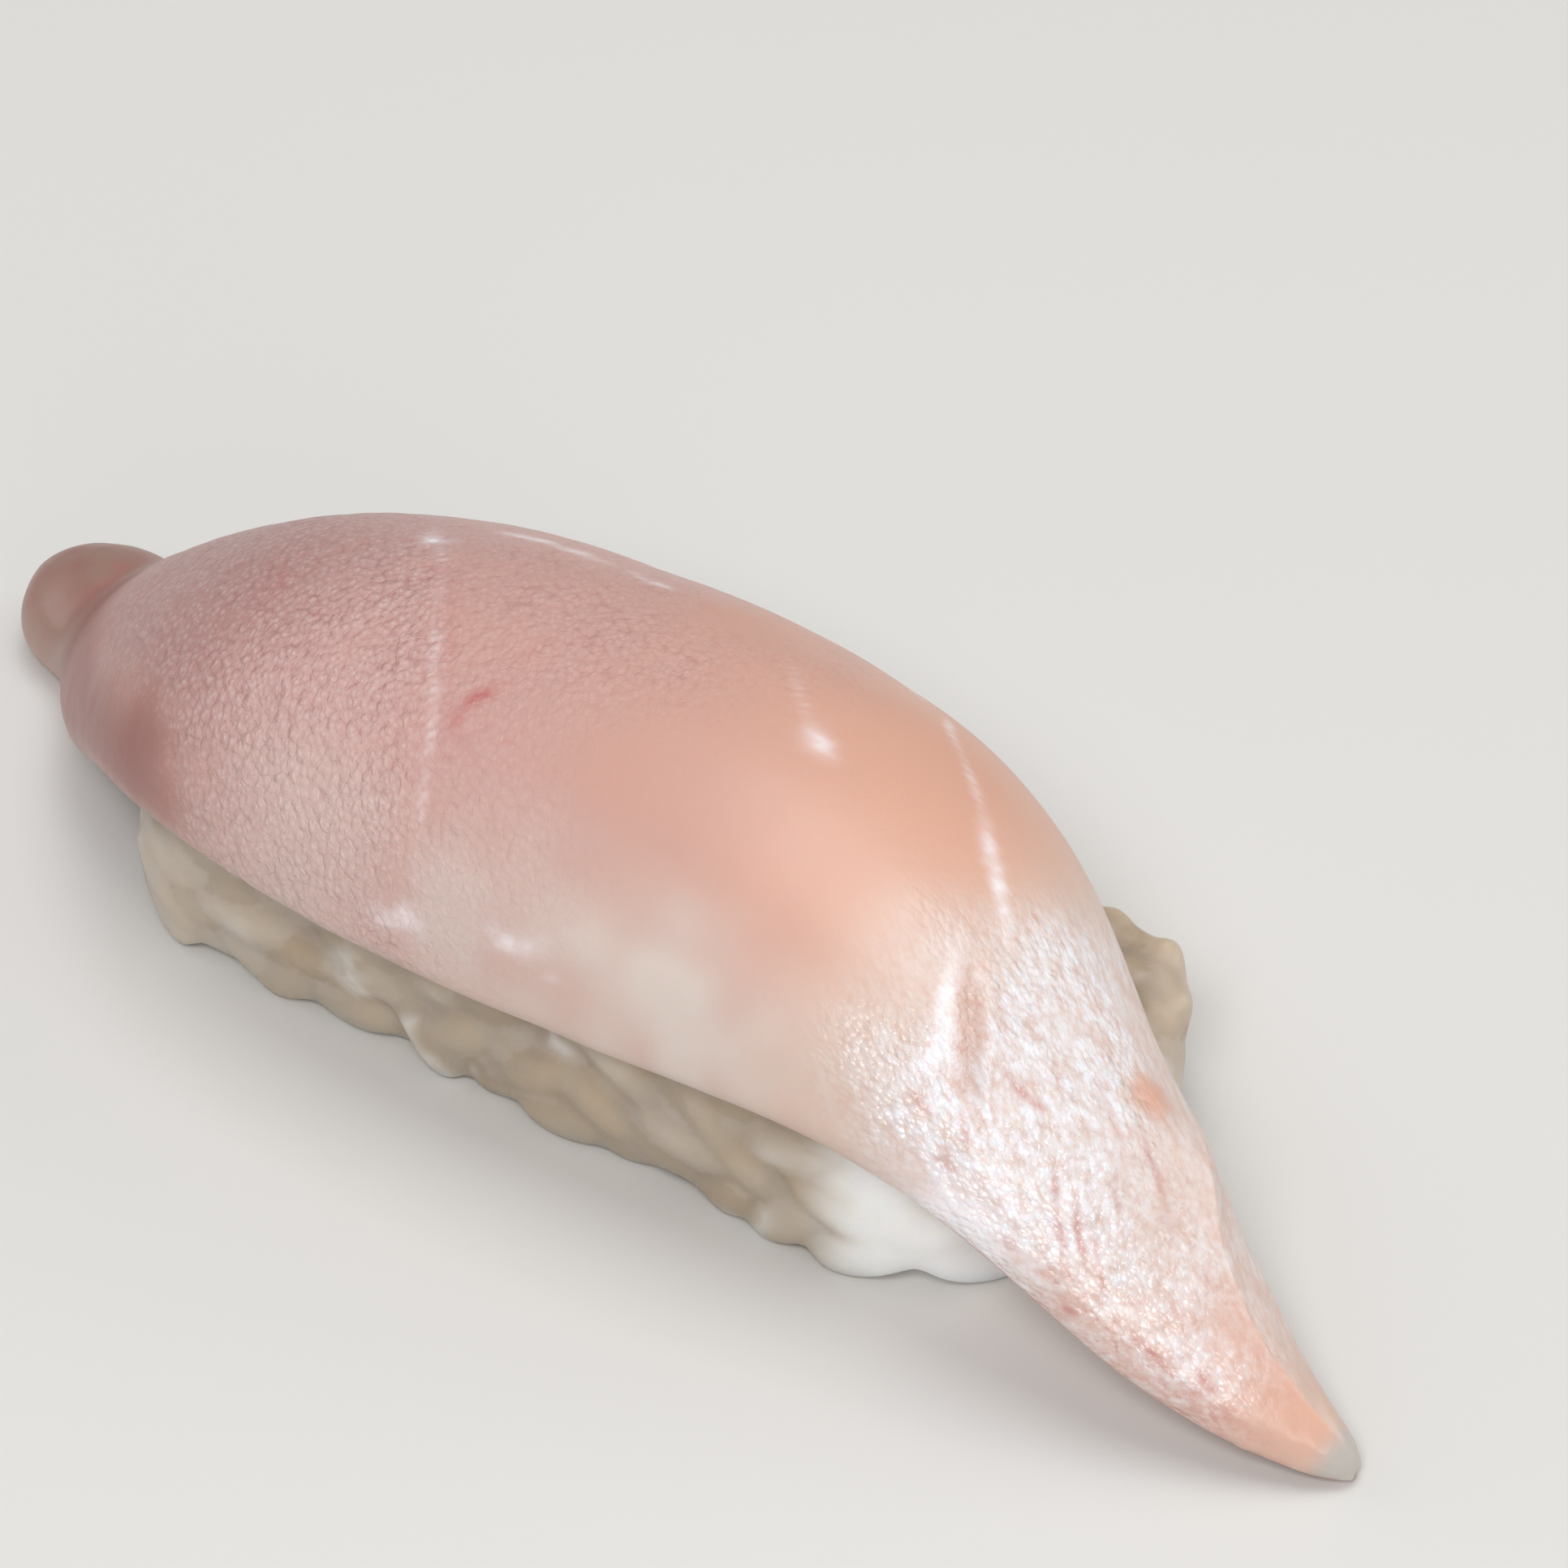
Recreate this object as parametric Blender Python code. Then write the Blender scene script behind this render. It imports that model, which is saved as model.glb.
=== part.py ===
# Tuna nigiri: one slice of pale tuna laid over a pressed block of rice.
# Lengths in the tables are millimetres; every mesh is scaled to metres as it is built.
# +X runs to the slice's tail, -Y is the long side that faces the viewer, +Z is up.

import bpy
import bmesh
import numpy as np

mm = 0.001

# Rice block, on the plane z = 0.
riceLength = 54.0
riceWidth = 22.4
riceCorner = 7.2
riceUndercut = 0.9
undercutHeight = 4.0
riceShoulder = 1.3
riceCuts = 11

# Fish slice, as (x, value) stations along its length.
sliceStart = -46.6
sliceEnd = 48.2
startRound = 5.0
endRound = 2.0
sliceRings = 56
sliceSides = 44

# Plan position of the near and the far rim.
nearY = [(-47, 3.8), (-43, 2.7), (-39, 0.8), (-36, -1.6), (-33, -4.3), (-30, -6.6), (-26, -9.4),
         (-22, -11.4), (-18, -12.5), (0, -13.3), (20, -12.7), (31, -12.9), (38, -12.2),
         (44, -10.4), (50, -7.7)]
farY = [(-47, 9.1), (-42, 9.8), (-36, 9.9), (-26, 10.8), (-12, 12.4), (0, 12.2), (12, 10.4),
        (20, 6.8), (27, 2.6), (33.6, -1.5), (40, -4.6), (46, -6.8), (50, -7.5)]
# Height of the two rims and of the underside's crest between them.
nearZ = [(-47, -0.5), (-41, -0.2), (-37, 0.7), (-33, 2.5), (-29, 4.9), (-25, 7.0), (-21, 8.2),
         (-16, 8.7), (0, 8.9), (15, 9.4), (25, 8.8), (31, 6.9), (38, 3.4), (44, 0.9), (50, -0.8)]
farZ = [(-47, -0.5), (-40, 0.4), (-34, 2.9), (-26, 5.9), (-12, 8.0), (0, 8.4), (12, 9.2),
        (20, 10.2), (27, 9.5), (33.6, 6.6), (40, 3.2), (46, 0.7), (50, -0.8)]
crestZ = [(-47, 0.3), (-43.5, 0.8), (-40, 1.0), (-37, 2.2), (-33, 4.9), (-28, 8.4), (-20, 12.6),
          (-10, 14.8), (0, 15.3), (10, 15.0), (17, 13.9), (22, 12.3), (27, 10.2), (33, 7.3),
          (40, 3.6), (45, 1.2), (50, -0.8)]
# Thickness in the middle, thickness of the rim, and the arch's half angle in radians.
sliceThick = [(-47, 3.6), (-43, 4.2), (-39, 4.2), (-34, 5.0), (-26, 5.8), (-10, 6.2),
              (10, 6.2), (24, 5.4), (33, 4.4), (42, 3.2), (50, 2.0)]
rimThick = [(-47, 3.0), (-38, 2.6), (-26, 2.0), (0, 1.8), (20, 1.8), (30, 2.0), (50, 1.8)]
archAngle = [(-47, 0.6), (-38, 0.8), (-28, 1.15), (0, 1.32), (18, 1.25), (28, 0.9),
             (36, 0.6), (50, 0.5)]

# Grains of rice fused on the block's sides.
grainLength = 6.4
grainWidth = 2.9
grainDepth = 2.5
grainRows = 4
firstRow = 1.75
rowPitch = 2.45
grainPitch = 4.6
topPitchX = 4.4
topPitchY = 2.6
grainSeed = 7

# Room left between the slice and the rice, and how much lower it lies along the slice's rim.
gap = 0.35
rimReach = 1.4
rimDrop = 1.0

# Plan centre of the finished piece's box, which becomes the origin.
centreX = 0.848
centreY = -0.478

fishColour = (0.72, 0.40, 0.30, 1.0)
riceColour = (0.62, 0.57, 0.49, 1.0)


def clearScene():
    for obj in list(bpy.data.objects):
        bpy.data.objects.remove(obj, do_unlink=True)


def spline(knots, x):
    """Natural cubic curve through (x, value) knots."""
    k = np.array(knots, float)
    xs, ys, n = k[:, 0], k[:, 1], len(k)
    h = np.diff(xs)
    a, b = np.eye(n), np.zeros(n)
    for i in range(1, n - 1):
        a[i, i - 1:i + 2] = h[i - 1], 2 * (h[i - 1] + h[i]), h[i]
        b[i] = 6 * ((ys[i + 1] - ys[i]) / h[i] - (ys[i] - ys[i - 1]) / h[i - 1])
    m = np.linalg.solve(a, b)
    x = np.asarray(x, float)
    i = np.clip(np.searchsorted(xs, x) - 1, 0, n - 2)
    s, t = (xs[i + 1] - x) / h[i], (x - xs[i]) / h[i]
    return s * ys[i] + t * ys[i + 1] + ((s**3 - s) * m[i] + (t**3 - t) * m[i + 1]) * h[i]**2 / 6


def roundEnd(distance, radius):
    """Quarter circle: 0 at the end, 1 from one radius in."""
    s = np.clip(1 - distance / radius, 0, 1)
    return np.sqrt(1 - s * s)


def halfWidth(x):
    ends = roundEnd(x - sliceStart, startRound) * roundEnd(sliceEnd - x, endRound)
    return (spline(farY, x) - spline(nearY, x)) / 2 * ends


def underside(x, q, width):
    """The sheet that the slice lies along: q runs from -1 at the near rim to 1 at the far rim."""
    angle = spline(archAngle, x)
    near, far = spline(nearZ, x), spline(farZ, x)
    across = np.sin(q * angle) / np.sin(angle)
    rise = (np.cos(q * angle) - np.cos(angle)) / (1 - np.cos(angle))
    y = (spline(nearY, x) + spline(farY, x)) / 2 + width * across
    z = (near + far) / 2 + (far - near) / 2 * q + (spline(crestZ, x) - (near + far) / 2) * rise
    return np.stack([x, y, z], -1)


def slicePoint(x, q, top):
    """A point of the slice's skin: the sheet moved along its normal by the local thickness."""
    step = 1e-3
    full = (spline(farY, x) - spline(nearY, x)) / 2
    fullAhead = (spline(farY, x + step) - spline(nearY, x + step)) / 2
    fullBehind = (spline(farY, x - step) - spline(nearY, x - step)) / 2
    along = underside(x + step, q, fullAhead) - underside(x - step, q, fullBehind)
    across = underside(x, q + step, full) - underside(x, q - step, full)
    normal = np.cross(along, across)
    normal /= np.linalg.norm(normal, axis=-1, keepdims=True)
    rim = spline(rimThick, x) / 2
    width = halfWidth(x)
    fromEnd = np.minimum(x - sliceStart, sliceEnd - x)
    rounded = roundEnd((1 - np.abs(q)) * width, rim) * roundEnd(fromEnd, 1.5 * rim)
    body = (spline(sliceThick, x) - 2 * rim) * (1 - np.abs(q)**2.2) * roundEnd(fromEnd, 6.0)
    offset = np.where(top, rim + rim * rounded + body, rim - rim * rounded)
    return underside(x, q, width) + normal * offset[..., None]


def clearance(x, y):
    """Highest z that rice may reach under the slice at a plan position."""
    width = np.maximum(halfWidth(np.clip(x, sliceStart + 1, sliceEnd - 1)), 0.5)
    middle = (spline(nearY, x) + spline(farY, x)) / 2
    angle = spline(archAngle, x)
    across = (y - middle) / width
    q = np.arcsin(np.clip(across, -1, 1) * np.sin(angle)) / angle
    z = underside(x, q, width)[..., 2]
    overRim = np.clip((np.abs(y - middle) - width + rimReach) / rimReach, 0, 1)
    return z - gap - rimDrop * overRim


def material(name, colour, roughness, subsurface):
    mat = bpy.data.materials.new(name)
    mat.use_nodes = True
    mat.diffuse_color = colour
    shader = mat.node_tree.nodes["Principled BSDF"]
    shader.inputs["Base Color"].default_value = colour
    shader.inputs["Roughness"].default_value = roughness
    shader.inputs["Metallic"].default_value = 0.0
    shader.inputs["Subsurface Weight"].default_value = subsurface
    return mat


def meshObject(name, bm, collection, mat=None):
    """Turns a bmesh in millimetres into an object in metres, about the finished piece's origin."""
    for vert in bm.verts:
        vert.co.x = (vert.co.x - centreX) * mm
        vert.co.y = (vert.co.y - centreY) * mm
        vert.co.z *= mm
    if bm.calc_volume(signed=True) < 0:
        bmesh.ops.reverse_faces(bm, faces=bm.faces)
    mesh = bpy.data.meshes.new(name)
    bm.to_mesh(mesh)
    bm.free()
    obj = bpy.data.objects.new(name, mesh)
    collection.objects.link(obj)
    if mat:
        mesh.materials.append(mat)
    return obj


def fishSlice(collection):
    """A UV sphere with its poles at the slice's two ends, pressed into the slice's form."""
    bm = bmesh.new()
    bmesh.ops.create_uvsphere(bm, u_segments=sliceSides, v_segments=sliceRings, radius=1.0)
    ball = np.array([v.co for v in bm.verts])
    x = (sliceStart + sliceEnd) / 2 + (sliceEnd - sliceStart) / 2 * ball[:, 2]
    turn = np.arctan2(ball[:, 1], ball[:, 0])
    atPole = np.abs(ball[:, 2]) > 0.99999
    q = np.where(atPole, 0.0, -np.cos(turn))
    skin = slicePoint(x, q, np.sin(turn) >= 0)
    skin[:, 2] = np.maximum(skin[:, 2], 0.05)
    for vert, point in zip(bm.verts, skin):
        vert.co = point
    return meshObject("fish_slice", bm, collection, material("fish", fishColour, 0.32, 0.2))


def blockEdge(turnX, turnY):
    """The block's rounded-rectangle edge, where a direction on the unit square's edge leads."""
    corner = np.array([turnX * riceLength / 2, turnY * riceWidth / 2])
    inner = np.array([riceLength / 2 - riceCorner, riceWidth / 2 - riceCorner])
    core = np.clip(corner.T, -inner, inner)
    out = corner.T - core
    length = np.maximum(np.linalg.norm(out, axis=-1, keepdims=True), 1e-9)
    return core + out / length * np.minimum(length, riceCorner)


def riceCore(collection, mat):
    """A cube with its plan rounded, its foot drawn in, and its top held under the slice."""
    bm = bmesh.new()
    bmesh.ops.create_cube(bm, size=2.0)
    bmesh.ops.subdivide_edges(bm, edges=bm.edges, cuts=riceCuts, use_grid_fill=True)
    cube = np.array([v.co for v in bm.verts])
    ring = np.maximum(np.abs(cube[:, 0]), np.abs(cube[:, 1]))
    safe = np.maximum(ring, 1e-9)
    edge = blockEdge(cube[:, 0] / safe, cube[:, 1] / safe) * ring[:, None]
    level = (cube[:, 2] + 1) / 2
    height = level * (clearance(edge[:, 0], edge[:, 1]) - riceShoulder * ring**8)
    drawn = riceUndercut * np.clip(1 - height / undercutHeight, 0, 1)**2
    edge *= 1 - drawn[:, None] / (riceWidth / 2)
    for vert, plan, z in zip(bm.verts, edge, height):
        vert.co = (*plan, z)
    return meshObject("rice", bm, collection, mat)


def perimeterPoint(distance):
    """Point and outward direction on the block's plan outline, by distance along it."""
    straightX, straightY = riceLength - 2 * riceCorner, riceWidth - 2 * riceCorner
    arc = np.pi / 2 * riceCorner
    distance = distance % (2 * (straightX + straightY) + 4 * arc)
    sides = [(straightX, (-1, -1), 0.0), (straightY, (1, -1), 0.5), (straightX, (1, 1), 1.0),
             (straightY, (-1, 1), 1.5)]
    for length, (cornerX, cornerY), heading in sides:
        start = np.array([cornerX * straightX / 2, cornerY * straightY / 2])
        ahead = np.array([np.cos(heading * np.pi), np.sin(heading * np.pi)])
        out = np.array([ahead[1], -ahead[0]])
        if distance <= length:
            return start + ahead * distance + out * riceCorner, out
        distance -= length
        if distance <= arc:
            turn = heading * np.pi - np.pi / 2 + distance / riceCorner
            out = np.array([np.cos(turn), np.sin(turn)])
            return start + ahead * length + out * riceCorner, out
        distance -= arc


def grainFrame(out, side, tilt, lean):
    """Axes of a grain: long axis, width, and the direction it faces."""
    axis = side * np.cos(tilt) + np.cross(out, side) * np.sin(tilt)
    axis = axis * np.cos(lean) + out * np.sin(lean)
    depth = out - axis * (out @ axis)
    depth /= np.linalg.norm(depth)
    return np.stack([axis, np.cross(depth, axis), depth], 1)


def sidePlaces(rng):
    """Centre, axes and size of each grain in jittered rows round the block's sides."""
    around = 2 * (riceLength + riceWidth - 4 * riceCorner) + 2 * np.pi * riceCorner
    count = int(around / grainPitch)
    places = []
    for row in range(grainRows):
        for n in range(count):
            along = (n + 0.5 * (row % 2) + rng.uniform(-0.25, 0.25)) * around / count
            height = firstRow + row * rowPitch + rng.uniform(-0.45, 0.45)
            tilt = rng.normal(0, 0.55)
            lean = rng.normal(0, 0.12)
            size = rng.uniform(0.9, 1.08)
            sink = rng.uniform(0.0, 0.7)
            plan, out = perimeterPoint(along)
            out = np.array([out[0], out[1], 0.0])
            side = np.array([-out[1], out[0], 0.0])
            drawn = riceUndercut * np.clip(1 - height / undercutHeight, 0, 1)**2
            centre = np.array([*plan, height]) - out * (sink + drawn)
            places.append((centre, grainFrame(out, side, tilt, lean), size))
    return places


def topPlaces(rng):
    """The same for the corner of the block's top that the slice leaves bare."""
    places = []
    up = np.array([0.0, 0.0, 1.0])
    for x in np.arange(0.0, riceLength / 2 - 1.5, topPitchX):
        for y in np.arange(0.0, riceWidth / 2 - 1.0, topPitchY):
            x1, y1 = x + rng.uniform(-0.8, 0.8), y + rng.uniform(-0.5, 0.5)
            turn, size = rng.uniform(0, np.pi), rng.uniform(0.9, 1.08)
            beyond = y1 - (spline(nearY, x1) + spline(farY, x1)) / 2 - halfWidth(x1)
            if beyond < 0.2:
                continue
            side = np.array([np.cos(turn), np.sin(turn), 0.0])
            z = clearance(x1, y1) - 1.35 * size
            places.append((np.array([x1, y1, z]), grainFrame(up, side, 0.0, 0.1), size))
    return places


def grainMesh(segments, rings):
    """A plump grain about the origin, long in x."""
    bm = bmesh.new()
    bmesh.ops.create_uvsphere(bm, u_segments=segments, v_segments=rings, radius=0.5)
    ball = np.array([v.co for v in bm.verts])
    ball = ball[:, [2, 0, 1]] * (grainLength, grainWidth, grainDepth)
    return bm, ball


def fits(points):
    return (points[:, 2] >= 0.12).all() and (
        points[:, 2] <= clearance(points[:, 0], points[:, 1])).all()


def riceBlock(collection):
    """The core with every grain that fits under the slice fused on."""
    mat = material("rice", riceColour, 0.45, 0.15)
    core = riceCore(collection, mat)
    grains = bpy.data.collections.new("grains")
    bpy.context.scene.collection.children.link(grains)
    rng = np.random.default_rng(grainSeed)
    for n, (centre, frame, size) in enumerate(sidePlaces(rng) + topPlaces(rng)):
        bm, ball = grainMesh(6, 5)
        local = ball @ frame.T * size
        # A grain that meets the slice slides down, then inwards; one that still meets it is left out.
        for drop, inward in ((0, 0), (0.5, 0), (1.0, 0), (1.0, 0.5), (1.6, 0.6), (2.2, 0.8)):
            points = local + centre - (0, 0, drop) - frame[:, 2] * inward
            points[:, 2] += max(0.0, 0.15 - points[:, 2].min())
            if fits(points):
                break
        else:
            bm.free()
            continue
        for vert, point in zip(bm.verts, points):
            vert.co = point
        meshObject(f"grain_{n}", bm, grains)
    union = core.modifiers.new("grains", "BOOLEAN")
    union.operation = "UNION"
    union.operand_type = "COLLECTION"
    union.collection = grains
    union.solver = "EXACT"
    graph = bpy.context.evaluated_depsgraph_get()
    fused = bpy.data.meshes.new_from_object(core.evaluated_get(graph), depsgraph=graph)
    core.modifiers.clear()
    core.data = fused
    print(len(grains.objects), "grains,", len(fused.polygons), "faces")
    for obj in list(grains.objects):
        bpy.data.objects.remove(obj, do_unlink=True)
    bpy.data.collections.remove(grains)
    return core


clearScene()
nigiri = bpy.data.collections.new("tuna_nigiri")
bpy.context.scene.collection.children.link(nigiri)
fishSlice(nigiri)
riceBlock(nigiri)
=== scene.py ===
import bpy
import numpy as np
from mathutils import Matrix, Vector


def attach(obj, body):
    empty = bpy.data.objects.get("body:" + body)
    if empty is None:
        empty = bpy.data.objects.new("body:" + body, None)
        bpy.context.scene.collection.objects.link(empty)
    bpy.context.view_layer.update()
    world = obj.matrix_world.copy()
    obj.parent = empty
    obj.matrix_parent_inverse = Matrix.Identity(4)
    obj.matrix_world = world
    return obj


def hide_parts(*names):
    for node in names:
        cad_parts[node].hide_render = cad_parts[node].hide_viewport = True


# Tuna nigiri: a slice of pale raw tuna lying over a pressed block of rice.
# Shapes are worked out in millimetres, about the middle of the rice, and written in metres.

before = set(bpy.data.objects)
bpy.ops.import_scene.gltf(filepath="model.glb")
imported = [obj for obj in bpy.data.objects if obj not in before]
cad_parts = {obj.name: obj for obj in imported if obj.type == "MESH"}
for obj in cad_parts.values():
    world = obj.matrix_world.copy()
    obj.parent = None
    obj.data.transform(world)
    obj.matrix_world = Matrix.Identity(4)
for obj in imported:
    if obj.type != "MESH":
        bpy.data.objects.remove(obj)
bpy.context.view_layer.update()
print("frame loaded:", sorted(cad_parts))

mm = 0.001
pieceCentre = (0.848, -0.478, 0.0)  # plan middle of the whole piece, which the frame has at its origin


def curveThrough(knots, x):
    # natural cubic through (x, value) knots: second differences m solve a tridiagonal system
    k = np.array(knots, float)
    xs, ys, n = k[:, 0], k[:, 1], len(k)
    h = np.diff(xs)
    a, b = np.eye(n), np.zeros(n)
    for i in range(1, n - 1):
        a[i, i - 1:i + 2] = h[i - 1], 2 * (h[i - 1] + h[i]), h[i]
        b[i] = 6 * ((ys[i + 1] - ys[i]) / h[i] - (ys[i] - ys[i - 1]) / h[i - 1])
    m = np.linalg.solve(a, b)
    x = np.asarray(x, float)
    i = np.clip(np.searchsorted(xs, x) - 1, 0, n - 2)
    s, t = (xs[i + 1] - x) / h[i], (x - xs[i]) / h[i]
    return s * ys[i] + t * ys[i + 1] + ((s**3 - s) * m[i] + (t**3 - t) * m[i + 1]) * h[i]**2 / 6


def roundEnd(distance, radius):
    # quarter circle: 0 at the end, 1 from one radius in
    s = np.clip(1 - distance / radius, 0, 1)
    return np.sqrt(1 - s * s)


def ramp(value, low, high):
    # smoothstep: 3t^2 - 2t^3 with t running from low to high
    t = np.clip((value - low) / (high - low), 0, 1)
    return t * t * (3 - 2 * t)


def bump(value, middle, width):
    # bell: exp of minus the squared distance from the middle over the width
    return np.exp(-((value - middle) / width)**2)


def softNoise(points, cell, seed, tableSize=4096, steps=(73, 179, 283), shift=100.0):
    # random values on a cubic lattice of this cell, blended by smoothstep weights, from -1 to 1;
    # a lattice spot reads the table at the sum of its indices times the steps
    table = np.random.default_rng(seed).uniform(-1, 1, tableSize)
    p = np.asarray(points, float) / cell + shift
    base = np.floor(p).astype(int)
    f = p - base
    f = f * f * (3 - 2 * f)
    total = np.zeros(p.shape[:-1])
    for corner in np.ndindex(2, 2, 2):
        value = table[(base + corner) @ np.array(steps) % tableSize]
        weight = np.prod(np.where(np.array(corner) == 1, f, 1 - f), axis=-1)
        total += weight * value
    return total


def lumps(points, layers):
    # sum of soft noises, each given as (height, cell, seed)
    return sum(height * softNoise(points, cell, seed) for height, cell, seed in layers)


def meshPiece(name, points, faces, material):
    # points in millimetres about the rice's middle, faces as rows of corner numbers
    mesh = bpy.data.meshes.new(name)
    placed = (np.asarray(points, float) - pieceCentre) * mm
    mesh.vertices.add(len(placed))
    mesh.vertices.foreach_set("co", placed.astype(np.float32).ravel())
    sides = faces.shape[1]
    mesh.loops.add(faces.size)
    mesh.loops.foreach_set("vertex_index", faces.astype(np.int32).ravel())
    mesh.polygons.add(len(faces))
    mesh.polygons.foreach_set("loop_start", np.arange(0, faces.size, sides, dtype=np.int32))
    mesh.polygons.foreach_set("use_smooth", np.ones(len(faces), bool))
    mesh.update(calc_edges=True)
    mesh.validate()
    mesh.materials.append(material)
    obj = bpy.data.objects.new(name, mesh)
    bpy.context.scene.collection.objects.link(obj)
    return obj


def tubeFaces(rows, ring):
    # triangles of a closed tube of rows of points, with a fan round a pole at each end; the poles come last
    index = np.arange(rows * ring).reshape(rows, ring)
    turned = np.roll(index, -1, axis=1)
    quads = np.stack([index[:-1], index[1:], turned[1:], turned[:-1]], -1).reshape(-1, 4)
    startFan = np.stack([np.full(ring, rows * ring), index[0], turned[0]], -1)
    endFan = np.stack([np.full(ring, rows * ring + 1), turned[-1], index[-1]], -1)
    return np.concatenate([quads[:, [0, 1, 2]], quads[:, [0, 2, 3]], startFan, endFan])


def pointValues(obj, name, values):
    # one number for each vertex, which a material reads by this name
    layer = obj.data.attributes.new(name, "FLOAT", "POINT")
    layer.data.foreach_set("value", np.asarray(values, np.float32).ravel())


def alongPath(points, path):
    # distance from each point to a path of straight legs, and how far along the path its nearest spot is
    best = np.full(points.shape[:-1], np.inf)
    place = np.zeros(points.shape[:-1])
    legs = len(path) - 1
    for n in range(legs):
        leg = path[n + 1] - path[n]
        t = np.clip((points - path[n]) @ leg / (leg @ leg), 0, 1)
        away = np.linalg.norm(points - path[n] - t[..., None] * leg, axis=-1)
        nearer = away < best
        best = np.where(nearer, away, best)
        place = np.where(nearer, (n + t) / legs, place)
    return best, place


def fadedEnds(place, margin):
    # half a sine wave over a path's length, which stops short of nothing at the ends
    return np.sin(np.pi * np.clip(place, margin, 1 - margin))


# shader helpers

def newMaterial(name):
    material = bpy.data.materials.new(name)
    material.use_nodes = True
    tree = material.node_tree
    return material, tree, tree.nodes["Principled BSDF"]


def addNode(tree, kind, **settings):
    node = tree.nodes.new(kind)
    for key, value in settings.items():
        setattr(node, key, value)
    return node


def joinTo(tree, value, socket):
    # a socket is linked, anything else is set as the socket's value
    if isinstance(value, bpy.types.NodeSocket):
        tree.links.new(value, socket)
    else:
        socket.default_value = value


def pointMask(tree, name):
    return addNode(tree, "ShaderNodeAttribute", attribute_name=name).outputs["Fac"]


def math(tree, operation, first, second=0.0, third=0.0, clamp=False):
    node = addNode(tree, "ShaderNodeMath", operation=operation, use_clamp=clamp)
    for n, value in enumerate((first, second, third)):
        joinTo(tree, value, node.inputs[n])
    return node.outputs[0]


def blendColour(tree, amount, first, second, kind="RGBA"):
    node = addNode(tree, "ShaderNodeMix", data_type=kind)
    joinTo(tree, amount, node.inputs["Factor"])
    joinTo(tree, first, node.inputs["A"])
    joinTo(tree, second, node.inputs["B"])
    return node.outputs["Result"]


def blendValue(tree, amount, first, second):
    return blendColour(tree, amount, first, second, "FLOAT")


def objectPlace(tree, stretch=(1.0, 1.0, 1.0), turn=0.0):
    # object coordinates turned about z, then divided by the stretch along the turned axes
    place = addNode(tree, "ShaderNodeTexCoord")
    mapping = addNode(tree, "ShaderNodeMapping", vector_type="TEXTURE")
    mapping.inputs["Scale"].default_value = stretch
    mapping.inputs["Rotation"].default_value = (0.0, 0.0, turn)
    tree.links.new(place.outputs["Object"], mapping.inputs["Vector"])
    return mapping.outputs["Vector"]


def cloud(tree, vector, scale, detail, rough, low, high):
    # fractal noise stretched so that low..high becomes 0..1
    noise = addNode(tree, "ShaderNodeTexNoise")
    noise.inputs["Scale"].default_value = scale
    noise.inputs["Detail"].default_value = detail
    noise.inputs["Roughness"].default_value = rough
    joinTo(tree, vector, noise.inputs["Vector"])
    spread = addNode(tree, "ShaderNodeMapRange")
    spread.inputs["From Min"].default_value = low
    spread.inputs["From Max"].default_value = high
    tree.links.new(noise.outputs["Fac"], spread.inputs["Value"])
    return spread.outputs["Result"]


moistRelief = {
    # what a material gives the group: how many wrinkles and beads, how beaded, and how deep the grooves are
    "given": {"Wrinkles per metre": 2400.0, "Beads per metre": 1500.0, "Beading": 0.5, "Groove depth": 0.5},
    "wrinkles": {"Detail": 2.0, "Roughness": 0.5, "Distortion": 0.8},
    "beadReach": 0.7,  # a bead rises by this less the distance to its middle
    # slope and start of the pits over a bead's distance, and of the lines over the wrinkle's height
    "pits": (4.0, -2.6), "lines": (-3.0, 0.3),
}


def moistFilmGroup(relief):
    # fine relief of a moist surface: wrinkles and small beads, less pits and lines, with masks for both
    group = bpy.data.node_groups.new("moistFilm", "ShaderNodeTree")
    face = group.interface
    face.new_socket("Vector", in_out="INPUT", socket_type="NodeSocketVector")
    for name, value in relief["given"].items():
        face.new_socket(name, in_out="INPUT", socket_type="NodeSocketFloat").default_value = value
    for name in ("Height", "Beads", "Grooves"):
        face.new_socket(name, in_out="OUTPUT", socket_type="NodeSocketFloat")
    given = group.nodes.new("NodeGroupInput")
    out = group.nodes.new("NodeGroupOutput")
    wrinkle = addNode(group, "ShaderNodeTexNoise")
    for name, value in relief["wrinkles"].items():
        wrinkle.inputs[name].default_value = value
    group.links.new(given.outputs["Vector"], wrinkle.inputs["Vector"])
    group.links.new(given.outputs["Wrinkles per metre"], wrinkle.inputs["Scale"])
    bead = addNode(group, "ShaderNodeTexVoronoi", feature="F1")
    group.links.new(given.outputs["Vector"], bead.inputs["Vector"])
    group.links.new(given.outputs["Beads per metre"], bead.inputs["Scale"])
    raised = math(group, "SUBTRACT", relief["beadReach"], bead.outputs["Distance"], clamp=True)
    # pits lie where three beads meet, and faint lines where the wrinkle noise crosses its middle
    pits = math(group, "MULTIPLY_ADD", bead.outputs["Distance"], *relief["pits"], clamp=True)
    offLine = math(group, "ABSOLUTE", math(group, "SUBTRACT", wrinkle.outputs["Fac"], 0.5))
    lines = math(group, "MULTIPLY_ADD", offLine, *relief["lines"], clamp=True)
    grooves = math(group, "MAXIMUM", pits, lines)
    both = blendValue(group, given.outputs["Beading"], wrinkle.outputs["Fac"], raised)
    sunk = math(group, "MULTIPLY", grooves, given.outputs["Groove depth"])
    group.links.new(math(group, "SUBTRACT", both, sunk), out.inputs["Height"])
    group.links.new(math(group, "MULTIPLY", raised, raised), out.inputs["Beads"])
    group.links.new(grooves, out.inputs["Grooves"])
    return group


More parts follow.
